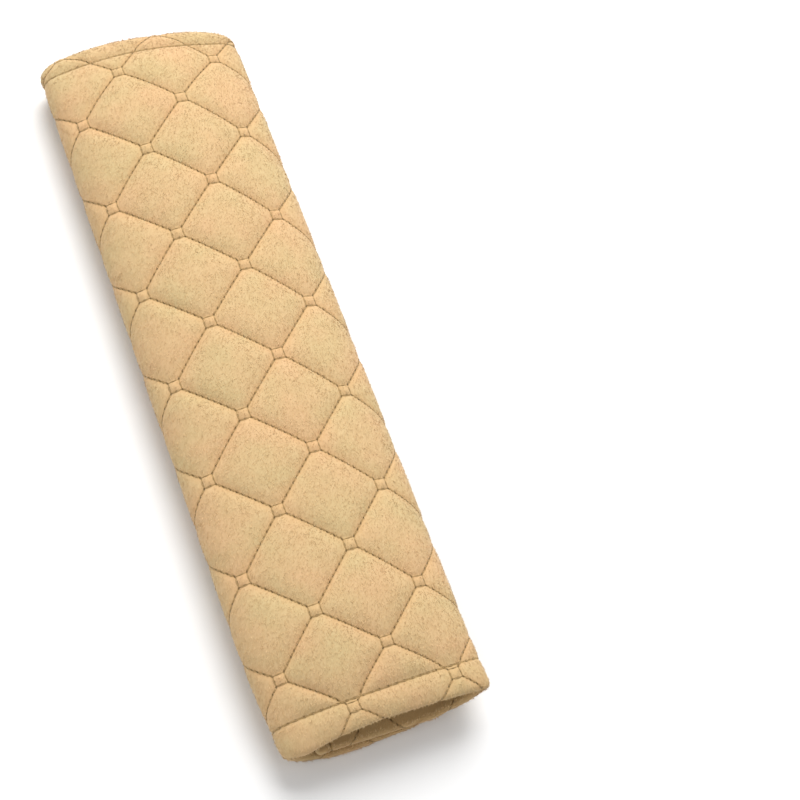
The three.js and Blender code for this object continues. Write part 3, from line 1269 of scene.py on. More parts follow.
@dataclass
class ClosingTape:
    """A woven tape with a field of hooks or loops on one side."""

    form: WrapForm
    kind: TapeKind
    base: float = 0.5
    border: float = 1.8
    pitch_across: float = 1.75
    pitch_along: float = 1.9
    field_left: float = 0.5
    field_right: float = 0.3
    field_start: float = 2.0
    field_end: float = 1.5
    wire: float = 0.13
    base_columns: int = 26
    base_rows: int = 120
    edge_points: int = 5
    wire_sides: int = 4
    seed: int = 5

    def build(self, name: str, finishes: list[bpy.types.Material]) -> bpy.types.Object:
        """Builds the tape.

        Args:
            name: Name of the piece.
            finishes: Materials of the base and of the field.

        Returns:
            The piece.
        """
        maker = MeshMaker()
        self.add_base(maker)
        self.add_field(maker)
        return maker.build(name, finishes)

    def surface(self, across: Grid, along: Grid, height: Grid) -> Grid:
        """Points of the tape. The hooks stand up from the lower tape and the loops hang down.

        Args:
            across: Distance across from the tape's middle.
            along: Distance along from the tape's middle.
            height: Height from the base's outer side.

        Returns:
            Points in mm, in the last axis.
        """
        up = self.form.hook_floor + height
        if self.kind is TapeKind.LOOPS:
            up = self.form.loop_floor + self.form.tape_thickness - height
        return np.stack(np.broadcast_arrays(across + self.form.tape_centre, along, up), -1)

    def add_base(self, maker: MeshMaker) -> None:
        """Adds the woven strip with its rounded selvages, as a closed loop of section points.

        Args:
            maker: The mesh in the making.
        """
        half, length = self.form.tape_width / 2, self.form.tape_length
        flat = np.linspace(-half + self.base / 2, half - self.base / 2, self.base_columns)
        turn = np.linspace(-np.pi / 2, np.pi / 2, self.edge_points)[1:-1]
        right = np.stack([flat[-1] + np.cos(turn) * self.base / 2, self.base / 2 * (1 + np.sin(turn))], 1)
        left = np.stack([-right[::-1, 0], right[::-1, 1]], 1)
        bottom = np.stack([flat, 0 * flat], 1)
        top = np.stack([flat[::-1], 0 * flat + self.base], 1)
        loop = np.concatenate([bottom, right, top, left])
        along = np.linspace(-length / 2, length / 2, self.base_rows)
        points = self.surface(loop[:, 0], along[:, None], loop[:, 1])
        flat_place = np.stack(np.broadcast_arrays(loop[:, 0], along[:, None], loop[:, 1]), -1)
        index = maker.add_points(points, sheet_place=flat_place)
        maker.add_faces(quads_between(np.concatenate([index, index[:, :1]], 1)))
        maker.add_faces([index[0], index[-1, ::-1]])

    def field_places(self) -> Grid:
        """Lays out where the wires stand, in staggered rows.

        Returns:
            Places across and along from the tape's middle, one row each.
        """
        half, length = self.form.tape_width / 2 - self.border, self.form.tape_length
        across = np.arange(self.field_left - half, half - self.field_right, self.pitch_across)
        along = np.arange(self.field_start, length - self.field_end, self.pitch_along) - length / 2
        place = np.stack(np.meshgrid(across, along, indexing="ij"), -1)
        place[:, ::2, 0] += self.pitch_across / 2
        return place.reshape(-1, 2)

    def add_field(self, maker: MeshMaker) -> None:
        """Adds the standing wires: hooks bent over at the tip, or whole loops.

        Args:
            maker: The mesh in the making.
        """
        draw = np.random.default_rng(self.seed)
        kind = WIRES[self.kind]
        lean, rise = np.array(kind.lean), np.array(kind.rise)
        place = self.field_places()
        place = place + draw.normal(0, kind.scatter, place.shape)
        count = len(place)
        if self.kind is TapeKind.HOOKS:
            heading = draw.integers(0, 2, count) * np.pi
        else:
            heading = draw.uniform(0, np.pi, count)
        aim = np.stack([np.sin(heading) * kind.sideways, np.cos(heading)], 1)
        tall = draw.uniform(kind.shortest, 1.0, (count, 1))
        height = self.form.tape_thickness - self.base
        centre = place[:, None] + aim[:, None] * lean[:, None]
        up = self.base + (height - self.wire) * rise * tall
        turns = np.arange(self.wire_sides) * 2 * np.pi / self.wire_sides
        out = np.stack([np.cos(turns), np.sin(turns)], 1) * self.wire
        side = np.stack([-aim[:, 1], aim[:, 0]], 1)
        slope = unit(np.gradient(np.stack([lean, rise * height], 1), axis=0))
        flat = centre[:, :, None] + side[:, None, None] * out[:, 0, None]
        flat = flat - aim[:, None, None] * (slope[:, 1, None] * out[:, 1])[..., None]
        level = up[..., None] + slope[:, 0, None] * out[:, 1]
        points = self.surface(flat[..., 0], flat[..., 1], level)
        maker.add_tubes(maker.add_points(points, sheet_place=points), 1)


@dataclass
class PillowSimulation:
    """Lets the plush face fill out between its pinned seams like cloth over padding."""

    sheet: QuiltedSheet
    scale: float = 30.0
    frames: int = 14
    pressure: float = 0.9
    slack: float = 0.003
    most: float = 0.9
    smallest: float = 1e-9
    pinned_width: float = 0.75
    pinned_end: float = 1.5
    reported: tuple[int, int, int] = (2, 50, 98)
    stuff: dict[str, float] = field(default_factory=lambda: {
        "quality": 4, "mass": 0.2, "tension_stiffness": 12.0, "compression_stiffness": 4.0,
        "shear_stiffness": 4.0, "bending_stiffness": 0.15, "tension_damping": 8.0,
        "compression_damping": 8.0, "air_damping": 3.0,
    })

    def settle(self, wrap: bpy.types.Object) -> None:
        """Moves the plush face's vertices of the wrap, which come first in its mesh.

        Args:
            wrap: The closed wrap.
        """
        moving = self.free_places()
        count = moving.size
        free = moving.reshape(-1, 1)
        places = vertex_values(wrap.data)
        quads = quads_between(np.arange(count).reshape(moving.shape))
        mesh = bpy.data.meshes.new("plush_in_work")
        mesh.from_pydata((places[:count] * self.scale).tolist(), [], quads.tolist())
        cloth = bpy.data.objects.new("plush_in_work", mesh)
        bpy.context.collection.objects.link(cloth)
        pins = cloth.vertex_groups.new(name="pins")
        pins.add(np.flatnonzero(~free).tolist(), 1.0, "REPLACE")
        shift = self.simulate(cloth) / self.scale - places[:count]
        bpy.data.objects.remove(cloth)
        bpy.data.meshes.remove(mesh)

        size = np.maximum(np.linalg.norm(shift, axis=1, keepdims=True), self.smallest * MM)
        most = self.most * MM
        shift *= free * most * np.tanh(size / most) / size
        places[:count] += shift
        places[:count, 2] = pressed(places[:count, 2] / MM) * MM
        wrap.data.vertices.foreach_set("co", places.ravel())
        wrap.data.update()
        facing = vertex_values(wrap.data, "normal")[:count]
        outwards = (shift * facing).sum(1)[free[:, 0]] / MM
        low, middle, high = np.percentile(outwards, self.reported)
        log.info("cloth moved outwards by %.2f, %.2f to %.2f mm", low, middle, high)

    def free_places(self) -> Grid:
        """Finds which places of the plush face's grid aren't sewn down or turned in.

        Returns:
            Truth values, by column and row.
        """
        sheet, form, quilting = self.sheet, self.sheet.form, self.sheet.quilting
        column, row = np.meshgrid(*sheet.grid_lines(), indexing="ij")
        seam, in_square = quilting.seam_distance(column, row)
        end, _, angle, _ = sheet.turn(row)
        across = quilting.across(column)
        edge = form.from_flap_edge(across) - sheet.flap_edge_stitch
        free = (seam > self.pinned_width) & ~in_square & (angle <= 0)
        free &= (np.abs(end - form.hem_depth) > self.pinned_width) & (end > self.pinned_end)
        free &= (row > 0) & (row < quilting.rows) & (edge > self.pinned_width)
        return free & (form.sheet_width - across > sheet.flat_of_inner)

    def simulate(self, cloth: bpy.types.Object) -> Grid:
        """Runs the cloth.

        Args:
            cloth: The plush face, enlarged by the scale, with its pins.

        Returns:
            Its settled vertices, one row each.
        """
        modifier = cloth.modifiers.new("filling", "CLOTH")
        for name, value in self.stuff.items():
            setattr(modifier.settings, name, value)
        modifier.settings.vertex_group_mass = "pins"
        modifier.settings.shrink_min = -self.slack
        modifier.settings.use_pressure = True
        modifier.settings.uniform_pressure_force = self.pressure
        modifier.settings.effector_weights.gravity = 0.0
        modifier.collision_settings.use_collision = False
        modifier.point_cache.frame_end = self.frames
        scene = bpy.context.scene
        for frame in range(1, self.frames + 1):
            scene.frame_set(frame)
        view = bpy.context.evaluated_depsgraph_get()
        settled = vertex_values(cloth.evaluated_get(view).data)
        scene.frame_set(1)
        return settled


@dataclass
class PileTufts:
    """The pile's fibres in flat tufts, which lean one way and break up the outline."""

    sheet: QuiltedSheet
    count: int = 150000
    length: float = 1.15
    lengths: tuple[float, float] = (0.6, 1.2)
    width: float = 0.26
    widths: tuple[float, float] = (0.7, 1.3)
    sunk: float = 0.12
    lift: float = 0.3
    lifts: tuple[float, float] = (0.35, 1.25)
    heading: float = -1.9
    heading_scatter: float = 0.45
    twist: float = 0.3
    seam_share: float = 0.4
    seam_reach: float = 1.4
    floor_share: float = 0.25
    floor_reach: float = 4.0
    from_flap: float = 2.0
    seed: int = 3

    def build(self, name: str, wrap: bpy.types.Object, finish: bpy.types.Material) -> bpy.types.Object:
        """Builds the tufts on the settled plush face.

        Args:
            name: Name of the piece.
            wrap: The closed wrap, whose plush vertices come first.
            finish: Finish of the pile.

        Returns:
            The piece.
        """
        sheet, quilting, count = self.sheet, self.sheet.quilting, self.count
        draw = np.random.default_rng(self.seed)
        columns, rows = (len(line) for line in sheet.grid_lines())
        face = vertex_values(wrap.data)[:columns * rows].reshape(columns, rows, 3) / MM
        column = draw.uniform(self.from_flap, columns - 1 - self.from_flap, count)
        row = draw.uniform(sheet.inside_steps, rows - 1 - sheet.inside_steps, count)
        root, beside, along = self.on_grid(face, column, row)
        out = unit(np.cross(beside, along))
        quilt = np.stack([column, row - sheet.lead], 1) / sheet.steps
        seam, _ = quilting.seam_distance(*quilt.T)
        short = self.seam_share + (1 - self.seam_share) * np.clip(seam / self.seam_reach, 0, 1)
        size = self.length * draw.uniform(*self.lengths, count) * short
        heading = draw.normal(self.heading, self.heading_scatter, count)[:, None]
        way = np.cos(heading) * beside + np.sin(heading) * along
        side = np.cross(out, way) + out * draw.normal(0, self.twist, (count, 1))
        half = self.width / 2 * draw.uniform(*self.widths, (count, 1))
        rise = self.lift * draw.uniform(*self.lifts, count) * short
        rise *= np.clip(self.floor_share + root[:, 2] / self.floor_reach, 0, 1)
        foot = root - out * self.sunk
        tip = root + way * size[:, None] + out * rise[:, None]
        points = np.stack([foot - side * half, tip, foot + side * half], 1)
        flat = np.zeros(points.shape)
        flat[..., :2] = (quilt * (quilting.column_step, quilting.row_step))[:, None]
        flat[..., 2] = draw.uniform(0, 1, (count, 1))
        maker = MeshMaker()
        maker.add_faces(maker.add_points(points, sheet_place=flat))
        return maker.build(name, [finish], closed=False)

    def on_grid(self, face: Grid, column: Grid, row: Grid) -> tuple[Grid, Grid, Grid]:
        """Point and unit directions of the face at places between its grid's vertices.

        Args:
            face: The plush face's vertices in mm, by column and row.
            column: Places across the grid in its own steps.
            row: Places along the grid in its own steps.

        Returns:
            The points and the directions of the columns and of the rows.
        """
        i, j = (np.minimum(place.astype(int), size - 2) for place, size in zip((column, row), face.shape))
        u, v = (column - i)[:, None], (row - j)[:, None]
        corners = (face[i, j], face[i + 1, j], face[i, j + 1], face[i + 1, j + 1])
        near = corners[0] * (1 - u) + corners[1] * u
        far = corners[2] * (1 - u) + corners[3] * u
        beside = (corners[1] - corners[0]) * (1 - v) + (corners[3] - corners[2]) * v
        return near * (1 - v) + far * v, unit(beside), unit(far - near)


class Nodes:
    """Short way to lay out a node tree."""

    def __init__(self, tree: bpy.types.NodeTree) -> None:
        """Takes the tree to work in."""
        self.tree = tree

    def add(self, kind: str, inputs: dict | None = None, **settings: object) -> bpy.types.Node:
        """Adds a node.

        Args:
            kind: Type of the node.
            inputs: Values or sockets for the inputs, by name or number.
            settings: Settings of the node, by name.

        Returns:
            The node.
        """
        node = self.tree.nodes.new(kind)
        for name, value in settings.items():
            setattr(node, name, value)
        for name, value in (inputs or {}).items():
            self.feed(node.inputs[name], value)
        return node

    def feed(self, socket: Socket, value: object) -> None:
        """Links a socket to an input, or sets the input's own value.

        Args:
            socket: The input.
            value: The socket to link, or the value to set.
        """
        if isinstance(value, bpy.types.NodeSocket):
            self.tree.links.new(value, socket)
        else:
            socket.default_value = value

    def math(self, operation: str, *values: object) -> Socket:
        """Output of a Math node."""
        inputs = dict(enumerate(values))
        return self.add("ShaderNodeMath", inputs, operation=operation).outputs[0]

    def vector(self, operation: str, *values: object) -> Socket:
        """Output of a Vector Math node."""
        inputs = dict(enumerate(values))
        return self.add("ShaderNodeVectorMath", inputs, operation=operation).outputs[0]

    def times(self, first: object, second: object) -> Socket:
        """Product of two values."""
        return self.math("MULTIPLY", first, second)

    def blend(self, first: object, weight: float, second: object, other: float) -> Socket:
        """Sum of two values, each times its weight."""
        return self.math("MULTIPLY_ADD", first, weight, self.times(second, other))

    def largest(self, *values: object) -> Socket:
        """Largest of two or more values."""
        return functools.reduce(lambda one, other: self.math("MAXIMUM", one, other), values)

    def split(self, vector: Socket) -> list[Socket]:
        """The three parts of a vector."""
        return list(self.add("ShaderNodeSeparateXYZ", {0: vector}).outputs)

    def attribute(self, name: str) -> Socket:
        """Vector value of the mesh's points, by name."""
        return self.add("ShaderNodeAttribute", attribute_name=name).outputs["Vector"]

    def bell(self, distance: Socket, width: object) -> Socket:
        """1 on a line, falling smoothly to 0 at about twice the width."""
        share = self.math("DIVIDE", distance, width)
        return self.math("EXPONENT", self.times(self.times(share, share), -1.0))

    def mix(self, share: object, first: object, second: object) -> Socket:
        """Mix of two colours.

        Args:
            share: Share of the second colour.
            first: The first colour.
            second: The second colour.

        Returns:
            The mixed colour.
        """
        node = self.add("ShaderNodeMix", data_type="RGBA")
        for place, value in zip(MIX_INPUTS, (share, first, second)):
            self.feed(node.inputs[place], value)
        return node.outputs[MIX_OUTPUT]


class FinishGroup:
    """A shader node group that more than one finish uses."""

    def __init__(self, name: str, inputs: dict[str, tuple], outputs: dict[str, str]) -> None:
        """Makes the group's sockets.

        Args:
            name: Name of the group.
            inputs: Socket type and default of each input.
            outputs: Socket type of each output.
        """
        self.tree = bpy.data.node_groups.new(name, "ShaderNodeTree")
        for label, (kind, default) in inputs.items():
            socket = self.tree.interface.new_socket(label, in_out="INPUT", socket_type=kind)
            if default is not None:
                socket.default_value = default
        for label, kind in outputs.items():
            self.tree.interface.new_socket(label, in_out="OUTPUT", socket_type=kind)
        self.nodes = Nodes(self.tree)
        self.given = self.nodes.add("NodeGroupInput").outputs
        self.results = self.nodes.add("NodeGroupOutput").inputs

    def give(self, label: str, value: Socket) -> None:
        """Links a value to an output of the group."""
        self.nodes.feed(self.results[label], value)

    def use(self, nodes: Nodes, **inputs: object) -> dict[str, Socket]:
        """Places the group in a material.

        Args:
            nodes: The material's nodes.
            inputs: Values or sockets, by the input's name with underscores for spaces.

        Returns:
            The group's outputs, by name.
        """
        node = nodes.add("ShaderNodeGroup", node_tree=self.tree)
        for name, value in inputs.items():
            nodes.feed(node.inputs[name.replace("_", " ").title()], value)
        return {socket.name: socket for socket in node.outputs}


def pile_grain() -> FinishGroup:
    """Short fibres that lie in one direction, as streaks of tone and height.

    Returns:
        The group.
    """
    inputs = {
        "Place": (VECTOR, None), "Fibre Width": (FLOAT, 0.3), "Fibre Length": (FLOAT, 1.2),
        "Lean": (FLOAT, 0.3),
    }
    group = FinishGroup("pile_grain", inputs, {"Tone": FLOAT, "Height": FLOAT})
    nodes, given = group.nodes, group.given
    turning = {"Vector": given["Place"], "Angle": given["Lean"]}
    turned = nodes.add("ShaderNodeVectorRotate", turning, rotation_type="Z_AXIS").outputs[0]
    wander = nodes.add("ShaderNodeTexNoise", {"Vector": given["Place"], "Scale": 0.35, "Detail": 1.0})
    bend = nodes.add("ShaderNodeVectorMath", {0: wander.outputs["Color"], "Scale": 1.6}, operation="SCALE")
    moved = nodes.vector("ADD", turned, bend.outputs[0])
    across = nodes.math("DIVIDE", 1.0, given["Fibre Width"])
    along = nodes.math("DIVIDE", 1.0, given["Fibre Length"])
    scale = nodes.add("ShaderNodeCombineXYZ", {"X": across, "Y": along, "Z": 1.0}).outputs[0]
    stretched = nodes.vector("MULTIPLY", moved, scale)
    fibres = {"Vector": stretched, "Scale": 1.0, "Detail": 3.0, "Roughness": 0.6}
    fine = nodes.add("ShaderNodeTexNoise", fibres)
    tufted = nodes.add("ShaderNodeTexNoise", {"Vector": stretched, "Scale": 0.33, "Detail": 2.0})
    tufted_share = 0.45
    both = nodes.blend(tufted.outputs[0], tufted_share, fine.outputs[0], 1.0 - tufted_share)
    spread = nodes.add("ShaderNodeMapRange", {"Value": both, "From Min": 0.36, "From Max": 0.64})
    group.give("Tone", spread.outputs[0])
    group.give("Height", both)
    return group


def soft_mottling() -> FinishGroup:
    """Broad, soft patches between two tones, as handled pile shows.

    Returns:
        The group.
    """
    inputs = {
        "Place": (VECTOR, None), "Patch Size": (FLOAT, 18.0), "Cool": (COLOUR, None),
        "Warm": (COLOUR, None),
    }
    group = FinishGroup("soft_mottling", inputs, {"Colour": COLOUR})
    nodes, given = group.nodes, group.given
    scale = nodes.math("DIVIDE", 1.0, given["Patch Size"])
    noise = nodes.add("ShaderNodeTexNoise", {"Vector": given["Place"], "Scale": scale, "Detail": 2.5})
    share = nodes.add("ShaderNodeMapRange", {"Value": noise.outputs[0], "From Min": 0.35, "From Max": 0.65})
    group.give("Colour", nodes.mix(share.outputs[0], given["Cool"], given["Warm"]))
    return group


def quilt_seams(quilting: Quilting) -> FinishGroup:
    """Lines and needle holes of the diamonds and small squares, from a place in cells, and a wider band
    beside the diagonal lines for painted shade on the pillows' slopes.

    Args:
        quilting: The layout of the stitching.

    Returns:
        The group.
    """
    inputs = {
        "Cells": (VECTOR, None), "Width": (FLOAT, 0.3), "Pitch": (FLOAT, 2.4),
        "Hole Width": (FLOAT, 0.38), "Slope Width": (FLOAT, 1.6), "Corner Fade": (FLOAT, 9.0),
    }
    group = FinishGroup("quilt_seams", inputs, {"Line": FLOAT, "Hole": FLOAT, "Slope": FLOAT})
    nodes, given = group.nodes, group.given
    parts = nodes.split(given["Cells"])
    half, step, overlap = quilting.square_half, quilting.row_step, 0.01
    found: dict[str, list[Socket]] = {"Line": [], "Hole": [], "Slope": []}
    for shift in (0.0, float(quilting.cells)):
        moved = [nodes.math("ADD", part, shift) for part in parts[:2]]
        across, along = (nodes.math("PINGPONG", part, float(quilting.cells)) for part in moved)
        longer, shorter = nodes.largest(across, along), nodes.math("MINIMUM", across, along)
        apart = nodes.math("ABSOLUTE", nodes.math("SUBTRACT", across, along))
        beyond = nodes.math("SUBTRACT", longer, half)
        near = nodes.math("LESS_THAN", longer, quilting.cells / 2 + overlap)
        outside = nodes.math("GREATER_THAN", beyond, 0.0)
        diagonal = nodes.times(apart, quilting.reach)
        side = nodes.times(nodes.math("ABSOLUTE", beyond), step)
        past_corner = nodes.times(outside, nodes.times(apart, given["Corner Fade"]))
        on_diagonal = nodes.times(nodes.bell(diagonal, given["Width"]), outside)
        on_side = nodes.bell(nodes.math("ADD", side, past_corner), given["Width"])
        run = nodes.times(nodes.math("SUBTRACT", across, half), quilting.reach * 2)
        phase = nodes.math("PINGPONG", run, nodes.math("DIVIDE", given["Pitch"], 2.0))
        from_corner = nodes.math("ABSOLUTE", nodes.math("SUBTRACT", shorter, half))
        gaps = (phase, nodes.times(from_corner, step), nodes.times(shorter, step))
        in_run, at_corner, at_middle = (nodes.bell(gap, given["Hole Width"]) for gap in gaps)
        side_hole = nodes.times(on_side, nodes.largest(at_corner, at_middle))
        hole = nodes.largest(nodes.times(on_diagonal, in_run), side_hole)
        # Band beside the diagonal seams, the mask of the painted shade on the pillows' slopes.
        slope = nodes.bell(diagonal, given["Slope Width"])
        for label, value in zip(found, (nodes.largest(on_diagonal, on_side), hole, slope)):
            found[label].append(nodes.times(value, near))
    for label, values in found.items():
        group.give(label, nodes.largest(*values))
    return group


def sewn_line() -> FinishGroup:
    """Line and needle holes of a straight row of stitches.

    Returns:
        The group.
    """
    inputs = {
        "Distance": (FLOAT, 0.0), "Along": (FLOAT, 0.0), "Width": (FLOAT, 0.3),
        "Pitch": (FLOAT, 2.8), "Hole Width": (FLOAT, 0.4),
    }
    group = FinishGroup("sewn_line", inputs, {"Line": FLOAT, "Hole": FLOAT})
    nodes, given = group.nodes, group.given
    line = nodes.bell(given["Distance"], given["Width"])
    phase = nodes.math("PINGPONG", given["Along"], nodes.math("DIVIDE", given["Pitch"], 2.0))
    group.give("Line", line)
    group.give("Hole", nodes.times(line, nodes.bell(phase, given["Hole Width"])))
    return group


def woven_ribs() -> FinishGroup:
    """Fine crossing ribs of a woven or knitted ground.

    Returns:
        The group.
    """
    inputs = {"Place": (VECTOR, None), "Rib Pitch": (FLOAT, 0.6), "Row Pitch": (FLOAT, 0.6)}
    group = FinishGroup("woven_ribs", inputs, {"Tone": FLOAT, "Height": FLOAT})
    nodes, given = group.nodes, group.given
    waves = []
    for part, pitch in zip(nodes.split(given["Place"]), ("Rib Pitch", "Row Pitch")):
        turn = nodes.times(nodes.math("DIVIDE", part, given[pitch]), 2 * math.pi)
        waves.append(nodes.math("SINE", turn))
    height = nodes.math("MULTIPLY_ADD", nodes.times(*waves), 0.5, 0.5)
    rough = nodes.add("ShaderNodeTexNoise", {"Vector": given["Place"], "Scale": 2.2, "Detail": 2.0})
    group.give("Height", height)
    group.give("Tone", nodes.blend(height, 0.5, rough.outputs[0], 0.5))
    return group


class Surface:
    """A material in the making, with its shader and nodes."""

    def __init__(self, name: str, uniform: dict[str, object]) -> None:
        """Starts a material.

        Args:
            name: Name of the material.
            uniform: Values of the shader's inputs that are the same all over, by name.
        """
        self.material = bpy.data.materials.new(name)
        self.material.use_nodes = True
        self.nodes = Nodes(self.material.node_tree)
        self.shader = self.material.node_tree.nodes["Principled BSDF"]
        for label, value in uniform.items():
            self.shader.inputs[label].default_value = value

    def dress(
        self, colour: Socket, height: Socket | None = None, strength: float = 1.0, depth: float = 0.0
    ) -> bpy.types.Material:
        """Feeds what changes over the surface into the shader.

        Args:
            colour: The base colour.
            height: Height of the fine relief, 0 to 1.
            strength: Strength of the relief.
            depth: Depth of the relief in mm.

        Returns:
            The material.
        """
        self.nodes.feed(self.shader.inputs["Base Color"], colour)
        if height is not None:
            relief = {"Height": height, "Strength": strength, "Distance": depth * MM}
            bump = self.nodes.add("ShaderNodeBump", relief)
            self.nodes.feed(self.shader.inputs["Normal"], bump.outputs[0])
        return self.material


@dataclass(frozen=True)
class PlushFinish:
    """Short-pile plush in warm beige, with painted shade in its seam grooves and needle holes, beside the
    diagonal seams and on the plush turned inside the tube's ends.
    """

    cool: Colour = from_screen(208, 184, 137)
    warm: Colour = from_screen(216, 180, 136)
    dark_pile: Colour = from_screen(182, 148, 100)
    # Painted shade: the dark line of a seam's groove, where thread and pile lie in shadow, on the quilting,
    # hem and flap-edge stitching.
    seam: Colour = from_screen(150, 120, 68)
    # Painted shade in the needle holes.
    hole: Colour = from_screen(92, 70, 36)
    # Painted shade on the pillows' slopes beside the diagonal seams, darker and warmer than the plush.
    painted_slope_shade: Colour = from_screen(214, 168, 118)
    # Painted shade on the plush that turns over the rims and into the tube's ends.
    inside: Colour = from_screen(172, 138, 90)
    sheen: Colour = (1.0, 0.9, 0.72, 1.0)
    pile_depth: float = 0.35
    pile_strength: float = 0.9
    pile_stands: float = 0.9
    shading: float = 0.42
    painted_slope_shade_share: float = 0.35
    inside_shade_share: float = 0.8
    seam_share: float = 0.75
    hole_shade_share: float = 0.85
    seam_sinks: float = -0.5
    hole_sinks: float = -0.6

    def build(self, groups: dict[str, FinishGroup]) -> bpy.types.Material:
        """Builds the material.

        Args:
            groups: The shared node groups, by name.

        Returns:
            The material.
        """
        surface = Surface("short_pile_plush", {
            "Roughness": 0.95, "Specular IOR Level": 0.12, "Sheen Weight": 0.35,
            "Sheen Roughness": 0.45, "Sheen Tint": self.sheen,
        })
        nodes = surface.nodes
        place, cells = nodes.attribute("sheet_place"), nodes.attribute("quilt_place")
        to_hem, to_edge, _ = nodes.split(nodes.attribute("seam_place"))
        across, along, _ = nodes.split(place)
        patches = groups["mottling"].use(nodes, place=place, cool=self.cool, warm=self.warm)
        grain = groups["pile"].use(nodes, place=place, fibre_width=0.34, fibre_length=1.1, lean=0.5)
        quilt = groups["quilt"].use(nodes, cells=cells, width=0.27)
        hem = groups["sewn"].use(nodes, distance=to_hem, along=across)
        edge = groups["sewn"].use(nodes, distance=to_edge, along=along)
        line, hole = (nodes.largest(quilt[part], hem[part], edge[part]) for part in ("Line", "Hole"))
        shade = nodes.math("SUBTRACT", 1.0, grain["Tone"])
        colour = patches["Colour"]
        # The pile's grain darkens at random; then painted shade is laid on the pillows' slopes beside the
        # diagonal seams, on the plush turned inside the tube's ends, in the seam grooves and in the needle
        # holes.
        for share, most, tone in (
            (shade, self.shading, self.dark_pile), (quilt["Slope"], self.painted_slope_shade_share, self.painted_slope_shade),
            (nodes.split(cells)[2], self.inside_shade_share, self.inside),
            (line, self.seam_share, self.seam), (hole, self.hole_shade_share, self.hole),
        ):
            colour = nodes.mix(nodes.times(share, most), colour, tone)
        sunk = nodes.blend(line, self.seam_sinks, hole, self.hole_sinks)
        pile = nodes.math("MULTIPLY_ADD", grain["Height"], self.pile_stands, sunk)
        return surface.dress(colour, pile, self.pile_strength, self.pile_depth)


@dataclass(frozen=True)
class TuftFinish:
    """Tufts of the pile, each with its own tone."""

    cool: Colour = from_screen(214, 190, 143)
    warm: Colour = from_screen(222, 186, 142)
    deep: Colour = from_screen(200, 168, 120)

    def build(self, groups: dict[str, FinishGroup]) -> bpy.types.Material:
        """Builds the material.

        Args:
            groups: The shared node groups, by name.

        Returns:
            The material.
        """
        surface = Surface("pile_tufts", {"Roughness": 0.9, "Specular IOR Level": 0.15})
        nodes = surface.nodes
        place = nodes.attribute("sheet_place")
        patches = groups["mottling"].use(nodes, place=place, cool=self.cool, warm=self.warm)
        return surface.dress(nodes.mix(nodes.split(place)[2], self.deep, patches["Colour"]))


@dataclass(frozen=True)
class LiningFinish:
    """Thin brushed knit on the side that faces the belt."""

    light: Colour = from_screen(226, 198, 152)
    shade: Colour = from_screen(188, 154, 108)
    # Painted shade: the darker line in the grooves of the quilting seams.
    seam: Colour = from_screen(140, 104, 60)
    seam_share: float = 0.6
    knit_depth: float = 0.15
    knit_strength: float = 0.7
    pile_stands: float = 0.6

    def build(self, groups: dict[str, FinishGroup]) -> bpy.types.Material:
        """Builds the material.

        Args:
            groups: The shared node groups, by name.

        Returns:
            The material.
        """
        uniform = {"Roughness": 0.9, "Specular IOR Level": 0.15, "Sheen Weight": 0.2}
        surface = Surface("brushed_knit_lining", uniform)
        nodes = surface.nodes
        place = nodes.attribute("sheet_place")
        knit = groups["ribs"].use(nodes, place=place, rib_pitch=0.9, row_pitch=0.7)
        grain = groups["pile"].use(nodes, place=place, fibre_width=0.5, fibre_length=0.9, lean=0.1)
        quilt = groups["quilt"].use(nodes, cells=nodes.attribute("quilt_place"))
        colour = nodes.mix(nodes.blend(knit["Tone"], 0.5, grain["Tone"], 0.5), self.shade, self.light)
        # Painted shade along the quilting seams' grooves.
        colour = nodes.mix(nodes.times(quilt["Line"], self.seam_share), colour, self.seam)
        height = nodes.math("MULTIPLY_ADD", grain["Height"], self.pile_stands, knit["Height"])
        return surface.dress(colour, height, self.knit_strength, self.knit_depth)


@dataclass(frozen=True)
class TapeFinish:
    """Woven nylon tape ground, or its hooks and loops."""

    name: str
    light: Colour = from_screen(205, 176, 132)
    shade: Colour = from_screen(160, 130, 88)
    roughness: float = 0.6
    weave_depth: float = 0.1
    weave_strength: float = 0.6

    def build(self, groups: dict[str, FinishGroup]) -> bpy.types.Material:
        """Builds the material.

        Args:
            groups: The shared node groups, by name.

        Returns:
            The material.
        """
        surface = Surface(self.name, {"Roughness": self.roughness})
        nodes = surface.nodes
        place = nodes.attribute("sheet_place")
        weave = groups["ribs"].use(nodes, place=place, rib_pitch=0.55, row_pitch=0.45)
        colour = nodes.mix(weave["Tone"], self.shade, self.light)
        return surface.dress(colour, weave["Height"], self.weave_strength, self.weave_depth)


@dataclass(frozen=True)
class ThreadFinish:
    """Twisted polyester sewing thread."""

    light: Colour = from_screen(196, 162, 106)
    shade: Colour = from_screen(140, 110, 62)
    plies: float = 2.0
    turns_per_mm: float = 2.4
    ply_depth: float = 0.05
    ply_strength: float = 0.8

    def build(self) -> bpy.types.Material:
        """Builds the material.

        Returns:
            The material.
        """
        surface = Surface("sewing_thread", {"Roughness": 0.55, "Sheen Weight": 0.15})
        nodes = surface.nodes
        along, around, _ = nodes.split(nodes.attribute("strand_place"))
        twist = nodes.blend(along, self.turns_per_mm, around, self.plies)
        tone = nodes.times(nodes.math("PINGPONG", twist, 0.5), 2.0)
        colour = nodes.mix(tone, self.shade, self.light)
        return surface.dress(colour, tone, self.ply_strength, self.ply_depth)


